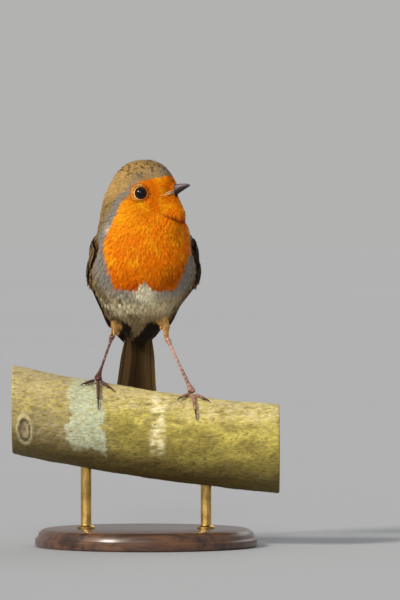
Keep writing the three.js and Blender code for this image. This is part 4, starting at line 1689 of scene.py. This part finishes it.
def flight_feathers(shell):
    """Primaries, secondaries and tertials, laid from the wing's edge inwards."""
    feathers = []
    for k, (low, turn) in enumerate(PRIMARY_TIPS):
        lift = (-1.0 + 0.07 * k, -0.75 + 0.07 * k)
        tip = (low, max(4, turn - shell.fold))
        grid = shell.feather((3, 99 - 4.5 * k), tip, 2.4, lift, 20, 1.3, lean=0.3, blunt=0.72)
        feathers.append((grid, quill_shades(20, QUILL_BROWN, QUILL_EDGE, None, 0.15, True)))
    for k in range(SECONDARIES):
        lift = (-0.5 + 0.08 * k, -0.35 + 0.08 * k)
        grid = shell.feather((0, 84 - 8 * k), (-34 + 0.5 * k, 68 - 8 * k), 3.0, lift, 18, lean=0.15)
        feathers.append((grid, quill_shades(18, QUILL_BROWN, QUILL_EDGE, None, 0.3, True)))
    for k, (root, tip) in enumerate(TERTIALS):
        grid = shell.feather(root, tip, 3.4, (0.1 + 0.12 * k, 0.25 + 0.12 * k), 16, blunt=0.7)
        feathers.append((grid, quill_shades(16, QUILL_BROWN, QUILL_EDGE, None, 0.4)))
    return feathers


def covert_feathers(shell):
    """Rows of coverts over the roots of the flight feathers, and the small alula at the edge."""
    feathers = []
    for count, roots, tips, half, (low, high), colours in COVERT_ROWS:
        for k in range(count):
            root, tip = (blend(np.array(a), np.array(b), k / (count - 1)) for a, b in (roots, tips))
            root = root + rng.normal(0, 0.3, 2)
            tip = tip + rng.normal(0, COVERT_SPREAD, 2)
            lift = (low + 0.02 * k, high + 0.02 * k + rng.normal(0, 0.05))
            grid = shell.feather(root, tip, half, lift, 11, blunt=0.72)
            feathers.append((grid, quill_shades(11, *colours, 0.3)))
    for k, tip in enumerate(ALULA_TIPS):
        grid = shell.feather((1, 102), tip, 1.5, (0.1 + 0.2 * k, 0.7 + 0.3 * k), 11, lean=0.2)
        feathers.append((grid, quill_shades(11, QUILL_BROWN, QUILL_EDGE, None, 0.2)))
    return feathers


def make_wing(side, material):
    shell = Shell(side)
    mesh = quill_mesh(f"wing_{side}_quills", flight_feathers(shell) + covert_feathers(shell))
    face_out(mesh, lambda place: place - HEART)
    wing = new_piece(f"wing_{side}_quills", mesh, material)
    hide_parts(f"wing_{side}_secondaries", f"wing_{side}_primaries")


# ---- tail ----

TAIL_BROWN = tint(72, 53, 34)
TAIL_EDGE = tint(112, 88, 52)
TAIL_FEATHERS = 12
TAIL_STATIONS = 20
TAIL_FLARE = 0.6  # mm that the outermost feathers' tips spread
TAIL_HALF = 2.5  # mm, half the width of one feather
OVER_TAIL = 0.03  # metres over the tail, from where its top is looked for


def tail_frame():
    """The tail solid's middle, its directions along, across and out of its top, and its points in them."""
    points = points_of("tail")
    centre = points.mean(0)
    long, across, _ = np.linalg.svd(points - centre, full_matrices=False)[2]
    long = long if long[2] < 0 else -long
    across = across if across[0] > 0 else -across
    thin = np.cross(across, long)
    thin = thin if thin[1] > 0 else -thin
    return centre, long, across, thin, (points - centre) @ np.stack([long, across, thin]).T


def surface_height(tree, place, upward):
    """How far over a place the top of the solid is, in metres, or nan past its edge."""
    hit = tree.ray_cast(Vector(place + upward * OVER_TAIL), Vector(-upward))
    return OVER_TAIL - hit[3] if hit[0] else math.nan


def make_tail(material):
    """A closed fan of feathers laid on the tail's solid, the outermost ones lowest."""
    centre, long, across, thin, flat = tail_frame()
    root, end = flat[:, 0].min(), flat[:, 0].max()
    root_half, end_half = (np.abs(flat[np.abs(flat[:, 0] - x) < 4 * MM, 1]).max() for x in (root, end))
    flare = TAIL_FLARE * MM
    halves = [root_half + flare, (root_half + end_half) / 2, end_half + flare]
    share = np.linspace(-0.02, 1, TAIL_STATIONS)
    spread = np.interp(share, [0, 0.5, 1], halves) - TAIL_HALF * 0.75 * MM
    tree = tree_of("tail")
    feathers = []
    for k in range(TAIL_FEATHERS):
        place = (2 * k + 1 - TAIL_FEATHERS) / (TAIL_FEATHERS - 1)  # -1 and 1 at the outermost
        out = abs(place)
        reach = root + (end - root) * (1.0 - 0.025 * (1 - out)) * share
        line = centre + long * reach[:, None] + across * (place * spread)[:, None]
        top = filled(np.array([surface_height(tree, p, thin) for p in line]))
        line = line + thin * top[:, None]
        lift = np.full(len(share), -0.5 + 0.45 * (1 - out))
        facing = np.tile(thin, (len(share), 1))
        inward = across * -np.sign(place)
        grid = vane_grid(line, facing, TAIL_HALF, lift, inward, lean=0.3, camber=0.12, blunt=0.86)
        middle = blend(TAIL_BROWN, TAIL_EDGE, 0.45 * float(ease(out, 0.45, 1)))
        edge_width = 0.55 if out > 0.95 else 0.3
        feathers.append((grid, quill_shades(len(share), middle, TAIL_EDGE, None, edge_width, True)))
    order = sorted(range(TAIL_FEATHERS), key=lambda k: -abs(2 * k + 1 - TAIL_FEATHERS))
    mesh = quill_mesh("tail_quills", [feathers[k] for k in order])
    face_out(mesh, lambda place: Vector(thin))
    tail = new_piece("tail_quills", mesh, material)
    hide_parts("tail")


# ---- branch ----

BRANCH_STEPS = 150
BRANCH_SIDES = 132
BRANCH_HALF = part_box("perch")[1].x / MM
OVER_BRANCH = 0.2  # metres over the floor, from where its top is looked for
GRIPPED = 0.35  # mm that the bark's highest places rise, and lie level with the solid
KNOT = {"x": -54.2, "angle": 112, "long": 2.6, "wide": 5.6}
PITH_HEIGHT = 54  # mm over the floor
BARK_LIT = tint(208, 190, 140)
BARK_GREEN = tint(198, 182, 86)
BARK_OLIVE = tint(140, 126, 56)
BARK_BROWN = tint(104, 88, 44)
BARK_GREY = tint(170, 152, 118)
LICHEN = tint(186, 190, 158)
PALE_BAND = tint(240, 226, 176)
KNOT_CRACK = tint(60, 46, 28)
WOOD_PALE = tint(214, 184, 136)
WOOD_RING = tint(178, 142, 92)


def branch_rod(stations, tops, radius):
    """A smooth rod of rings whose tops follow the solid's."""
    shape = bmesh.new()
    ring = bmesh.ops.create_circle(shape, segments=BRANCH_SIDES, radius=radius * MM)["verts"]
    bmesh.ops.rotate(shape, verts=ring, matrix=Matrix.Rotation(math.pi / 2, 3, "Y"))
    bmesh.ops.translate(shape, verts=ring, vec=(stations[0], 0, (tops[0] - radius) * MM))
    edges = shape.edges[:]
    bmesh.ops.contextual_create(shape, geom=edges)
    for i in range(1, len(stations)):
        edges, ring = extruded(shape, edges)
        step = Vector((stations[i] - stations[i - 1], 0, (tops[i] - tops[i - 1]) * MM))
        bmesh.ops.translate(shape, verts=ring, vec=step)
    bmesh.ops.contextual_create(shape, geom=edges)
    return mesh_from(shape, "branch")


def make_branch():
    """The cut branch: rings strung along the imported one, with its bark raised and cracked."""
    tree = tree_of("perch")
    low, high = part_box("perch")
    radius = (high.y - low.y) / 2 / MM
    stations = np.linspace(low.x, high.x, BRANCH_STEPS + 1)
    inner = stations * (1 - 1e-4)  # a ray at the very end could miss
    hits = [tree.ray_cast(Vector((x, 0, OVER_BRANCH)), DOWN) for x in inner]
    tops = np.array([OVER_BRANCH - hit[3] for hit in hits]) / MM
    mesh = branch_rod(stations, tops, radius)
    co = places(mesh)
    x = co[:, 0] / MM
    axis = np.interp(co[:, 0], stations, tops) - radius
    up = co[:, 2] - axis * MM
    angle = np.degrees(np.arctan2(-co[:, 1], up))
    outward = unit(np.stack([0 * x, co[:, 1], up], -1))
    cracks = np.abs(speckle(co * (0.35, 1, 1), 2.2, 2))
    crust = lichen_share(x, angle, co)
    knot = knot_distance(x, angle, radius)
    rim = ease(BRANCH_HALF - np.abs(x), 0, 0.8)
    relief = bark_relief(co, cracks, crust, knot) * rim - 0.5 * (1 - rim)
    move_to(mesh, co + outward * (relief * MM)[:, None])
    paint(mesh, bark_colours(co, x, angle, cracks, crust, knot))
    branch = new_piece("branch", mesh, bark_finish())
    mesh.materials.append(end_grain_finish())
    for face in mesh.polygons:
        face.material_index = int(len(face.vertices) > 4)
    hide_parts("perch")


def bark_relief(co, cracks, crust, knot):
    """How far the bark stands off the solid, in mm: 0 at its highest, so that the toes rest on it."""
    relief = 0.55 * speckle(co * (0.45, 1, 1), 9) + 0.22 * speckle(co * (0.6, 1, 1), 3, 1)
    relief = relief - 0.18 * fade(cracks, 0, 0.07) + 0.12 * speckle(co * (0.7, 1, 1), 1.1, 8)
    relief = relief + 0.25 * crust * (0.6 + 1.2 * np.abs(speckle(co, 0.8, 3)))
    relief = relief + 0.9 * np.exp(-((knot - 1.15) / 0.35) ** 2) - 0.7 * fade(knot, 0.3, 0.95)
    return np.minimum(relief, GRIPPED) - GRIPPED


def bark_colours(co, x, angle, cracks, crust, knot):
    """Green bark with painted light on top and painted shade in brown below, with lichen, a pale band and
    the knot.
    """
    tone = speckle(co * (0.5, 1, 1), 6, 4)
    fine = speckle(co * (0.5, 1, 1), 1.2, 5)
    blotch = speckle(co * (0.4, 1, 1), 3.2, 11)
    # painted light and shade by the angle round the branch: pale on top, olive towards the lower front,
    # brown underneath
    lit = fade(np.abs(angle - 15) + 14 * tone, 22, 62)
    underside_shade_and_cracks = 0.9 * ease(np.abs(angle), 92, 140) + 0.5 * fade(cracks, 0, 0.05)
    dark = np.maximum(-blotch - 0.12, 0) + 0.8 * np.maximum(-fine - 0.2, 0)
    split = np.exp(-(((knot - 0.92) / 0.13) ** 2)) + 0.8 * fade(knot, 0.1, 0.3)
    return layered(
        plain(BARK_GREEN, co),
        (BARK_OLIVE, ease(angle, 50, 110) + 0.9 * tone + 0.5 * fine + 0.6 * blotch),
        (BARK_LIT, lit * (0.6 + 0.9 * fine)),
        (BARK_GREY, fade(x + 6 * tone, -34, -8) * (0.55 + 0.8 * fine)),
        (BARK_BROWN, underside_shade_and_cracks),
        (BARK_BROWN, dark),
        (LICHEN, crust * (0.85 + 0.7 * fine)),
        (PALE_BAND, band_share(x, angle) * (0.6 + 1.1 * fine + 0.8 * blotch)),
        (PALE_BAND, 0.5 * np.exp(-(((knot - 1.2) / 0.22) ** 2))),
        (BARK_GREY, 0.8 * fade(knot, 0.6, 0.9)),
        (KNOT_CRACK, split),
    )


def lichen_share(x, angle, co):
    """1 on the crust of lichen that grows across the branch, with a ragged edge."""
    ragged = 1.6 * speckle(co, 2.2, 6) + 2.4 * speckle(co, 7, 7)
    half = np.interp(angle, [0, 60, 110], [5.6, 7.2, 8.6])
    across = fade(np.abs(x + 26.5) + ragged - half, -0.4, 0.5)
    return across * ease(angle, -20, -5) * fade(angle + 5 * ragged, 118, 128)


def band_share(x, angle):
    """1 on the pale band beside the feet."""
    return fade(np.abs(x - 5.2), 1.2, 4.8) * ease(angle, 14, 40) * fade(angle, 96, 122)


def knot_distance(x, angle, radius):
    """How far from the knot's middle: 1 at the edge of its oval."""
    along = (x - KNOT["x"]) / KNOT["long"]
    around = np.radians(angle - KNOT["angle"]) * radius / KNOT["wide"]
    return np.sqrt(along ** 2 + around ** 2)


def bark_finish():
    """Bark with a rough grain that runs along the branch, and small dark flecks."""
    material, tree, shader = finish_of("bark", Specular_IOR_Level=0.3)
    where = own_place(tree)
    fine = grain(tree, stretched(tree, where, (0.3, 1, 1)), 0.7, 6, 0.65)
    flecks = ramp(tree, grain(tree, where, 0.9, 2), 0.66, 0.74)
    shade = ramp(tree, fine, 0.3, 0.7, 0.62, 1.25)
    colour = mix_colour(tree, 1.0, markings_of(tree), shade, "MULTIPLY")
    colour = mix_colour(tree, flecks, colour, (0.03, 0.026, 0.015))
    lay_on(tree, shader, colour, ramp(tree, fine, 0.2, 0.8, 0.6, 0.9))
    raise_bumps(tree, shader, fine, 0.35, 0.8)
    return material


def end_grain_finish():
    """The sawn ends: growth rings round the pith and fine rays."""
    material, tree, shader = finish_of("end_grain", Specular_IOR_Level=0.25)
    where = own_place(tree)
    rings = node_of(tree, "ShaderNodeTexWave", Scale=210, Distortion=5, Detail=4, Detail_Scale=30)
    rings.wave_type = "RINGS"
    rings.rings_direction = "X"
    flat = stretched(tree, where, (0, 1, 1), (0, 0, -PITH_HEIGHT * MM))
    tree.links.new(flat, rings.inputs["Vector"])
    fine = grain(tree, where, 0.6, 5)
    cloud = grain(tree, where, 9, 3)
    ring = calculate(tree, "MULTIPLY", rings.outputs["Fac"], ramp(tree, fine, 0.3, 0.65))
    colour = mix_colour(tree, ring, WOOD_PALE, WOOD_RING)
    colour = mix_colour(tree, 1.0, colour, ramp(tree, cloud, 0.3, 0.7, 0.72, 1.08), "MULTIPLY")
    lay_on(tree, shader, colour, ramp(tree, fine, 0.2, 0.8, 0.65, 0.9))
    raise_bumps(tree, shader, fine, 0.2)
    return material


# ---- stand ----

CREASE_ANGLE = 35  # degrees from which a turned edge stays crisp
STAIN_DARK = tint(48, 28, 18)
STAIN_LIGHT = tint(96, 60, 36)
BRASS_BRIGHT = tint(214, 176, 98)
BRASS_DULL = tint(170, 134, 76)


def make_stand():
    """The turned base and the two brass rods that carry the branch."""
    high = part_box("stand_base")[1]
    radius = high.x / MM
    height = high.z / MM
    steps = ((0.8, 0), (0, 0.8), (0, 3.4), (0.5, 4.1), (1.1, 4.3), (1.3, 4.9), (1.8, 6.4), (3.0, 7.5))
    profile = [(0, 0), *((radius - inset, z) for inset, z in steps), (radius - 4.4, height), (0, height)]
    base = turned_piece("base_wood", spun(profile, 96), wood_finish())
    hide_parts("stand_base")
    brass = brass_finish()
    for side in SIDES:
        low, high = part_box(f"stand_rod_{side}")
        r = (high.x - low.x) / 2 / MM
        top = high.z / MM
        collar = ((0, -5), (1.5, 0), (1.5, 0.9), (1.1, 1.3), (0.1, 1.6), (0, 2.0))
        profile = [(0, height - 5), *((r + out, height + up) for out, up in collar)]
        profile += [(r, top - 0.4), (r - 0.4, top), (0, top)]
        shape = spun(profile, 40)
        middle = (low + high) / 2
        bmesh.ops.translate(shape, verts=shape.verts, vec=(middle.x, middle.y, 0))
        rod = turned_piece(f"rod_{side}", shape, brass)
        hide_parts(f"stand_rod_{side}")


def turned_piece(name, shape, material):
    """A lathe-turned piece with crisp creases."""
    mesh = mesh_from(shape, name)
    keep_creases(mesh, CREASE_ANGLE)
    return new_piece(name, mesh, material)


def keep_creases(mesh, angle):
    """Keeps edges sharper than this many degrees crisp."""
    shape = bmesh.new()
    shape.from_mesh(mesh)
    for edge in shape.edges:
        edge.smooth = len(edge.link_faces) != 2 or edge.calc_face_angle() < math.radians(angle)
    shape.to_mesh(mesh)
    shape.free()


def wood_finish():
    """Dark stained wood under a satin lacquer."""
    material, tree, shader = finish_of("stained_wood", Coat_Weight=0.35, Coat_Roughness=0.2)
    along = stretched(tree, own_place(tree), (0.06, 1, 0.5))
    figure = grain(tree, along, 3.0, 6, 0.6)
    pores = grain(tree, along, 0.45, 3)
    colour = mix_colour(tree, ramp(tree, figure, 0.35, 0.65), STAIN_DARK, STAIN_LIGHT)
    colour = mix_colour(tree, ramp(tree, pores, 0.6, 0.7, 0, 0.6), colour, (0.01, 0.006, 0.004))
    lay_on(tree, shader, colour, ramp(tree, figure, 0.2, 0.8, 0.32, 0.5))
    raise_bumps(tree, shader, pores, 0.12, 0.4)
    return material


def brass_finish():
    """Drawn brass, slightly dulled."""
    material, tree, shader = finish_of("brass", Metallic=1.0)
    where = own_place(tree)
    lines = grain(tree, stretched(tree, where, (1, 1, 0.05)), 0.25, 3)
    dull = ramp(tree, grain(tree, where, 6, 4), 0.35, 0.7)
    colour = mix_colour(tree, dull, BRASS_BRIGHT, BRASS_DULL)
    lay_on(tree, shader, colour, ramp(tree, lines, 0.25, 0.75, 0.22, 0.42))
    raise_bumps(tree, shader, lines, 0.03, 0.3)
    return material


# ---- the whole ----

set_camera()
set_lights()
lay_floor()
skin = make_skin()
unwrap(skin)
plumage = feather_finish("body_plumage", barbs=0, shaft=0.0, root_shade=0.34, sheen=0.02, relief=0.04)
grow_coat(skin, plumage)
eye_gloss = eye_finish()
lid_skin = horn_finish("lid_skin", roughness=0.55, streak_size=0.3, relief=0.06)
bill_keratin = horn_finish("bill_keratin", roughness=0.45, streak_size=0.5, relief=0.05)
leg_skin = horn_finish("leg_skin", roughness=0.5, streak_size=0.35, relief=0.08)
claw_keratin = horn_finish("claw_keratin", roughness=0.35, streak_size=0.4, relief=0.04)
wing_vanes = feather_finish("wing_vanes", barbs=24, shaft=1.0, root_shade=0.0, sheen=0.1, relief=0.05)
tail_vanes = feather_finish("tail_vanes", barbs=50, shaft=1.0, root_shade=0.0, sheen=0.1, relief=0.05)
for side in SIDES:
    make_eye(side, eye_gloss)
    make_lid(side, lid_skin)
    make_gape(side, lid_skin)
    make_leg(side, leg_skin)
    make_claws(side, claw_keratin)
    make_wing(side, wing_vanes)
for half in ("upper", "lower"):
    make_bill(half, bill_keratin)
make_tail(tail_vanes)
make_branch()
make_stand()
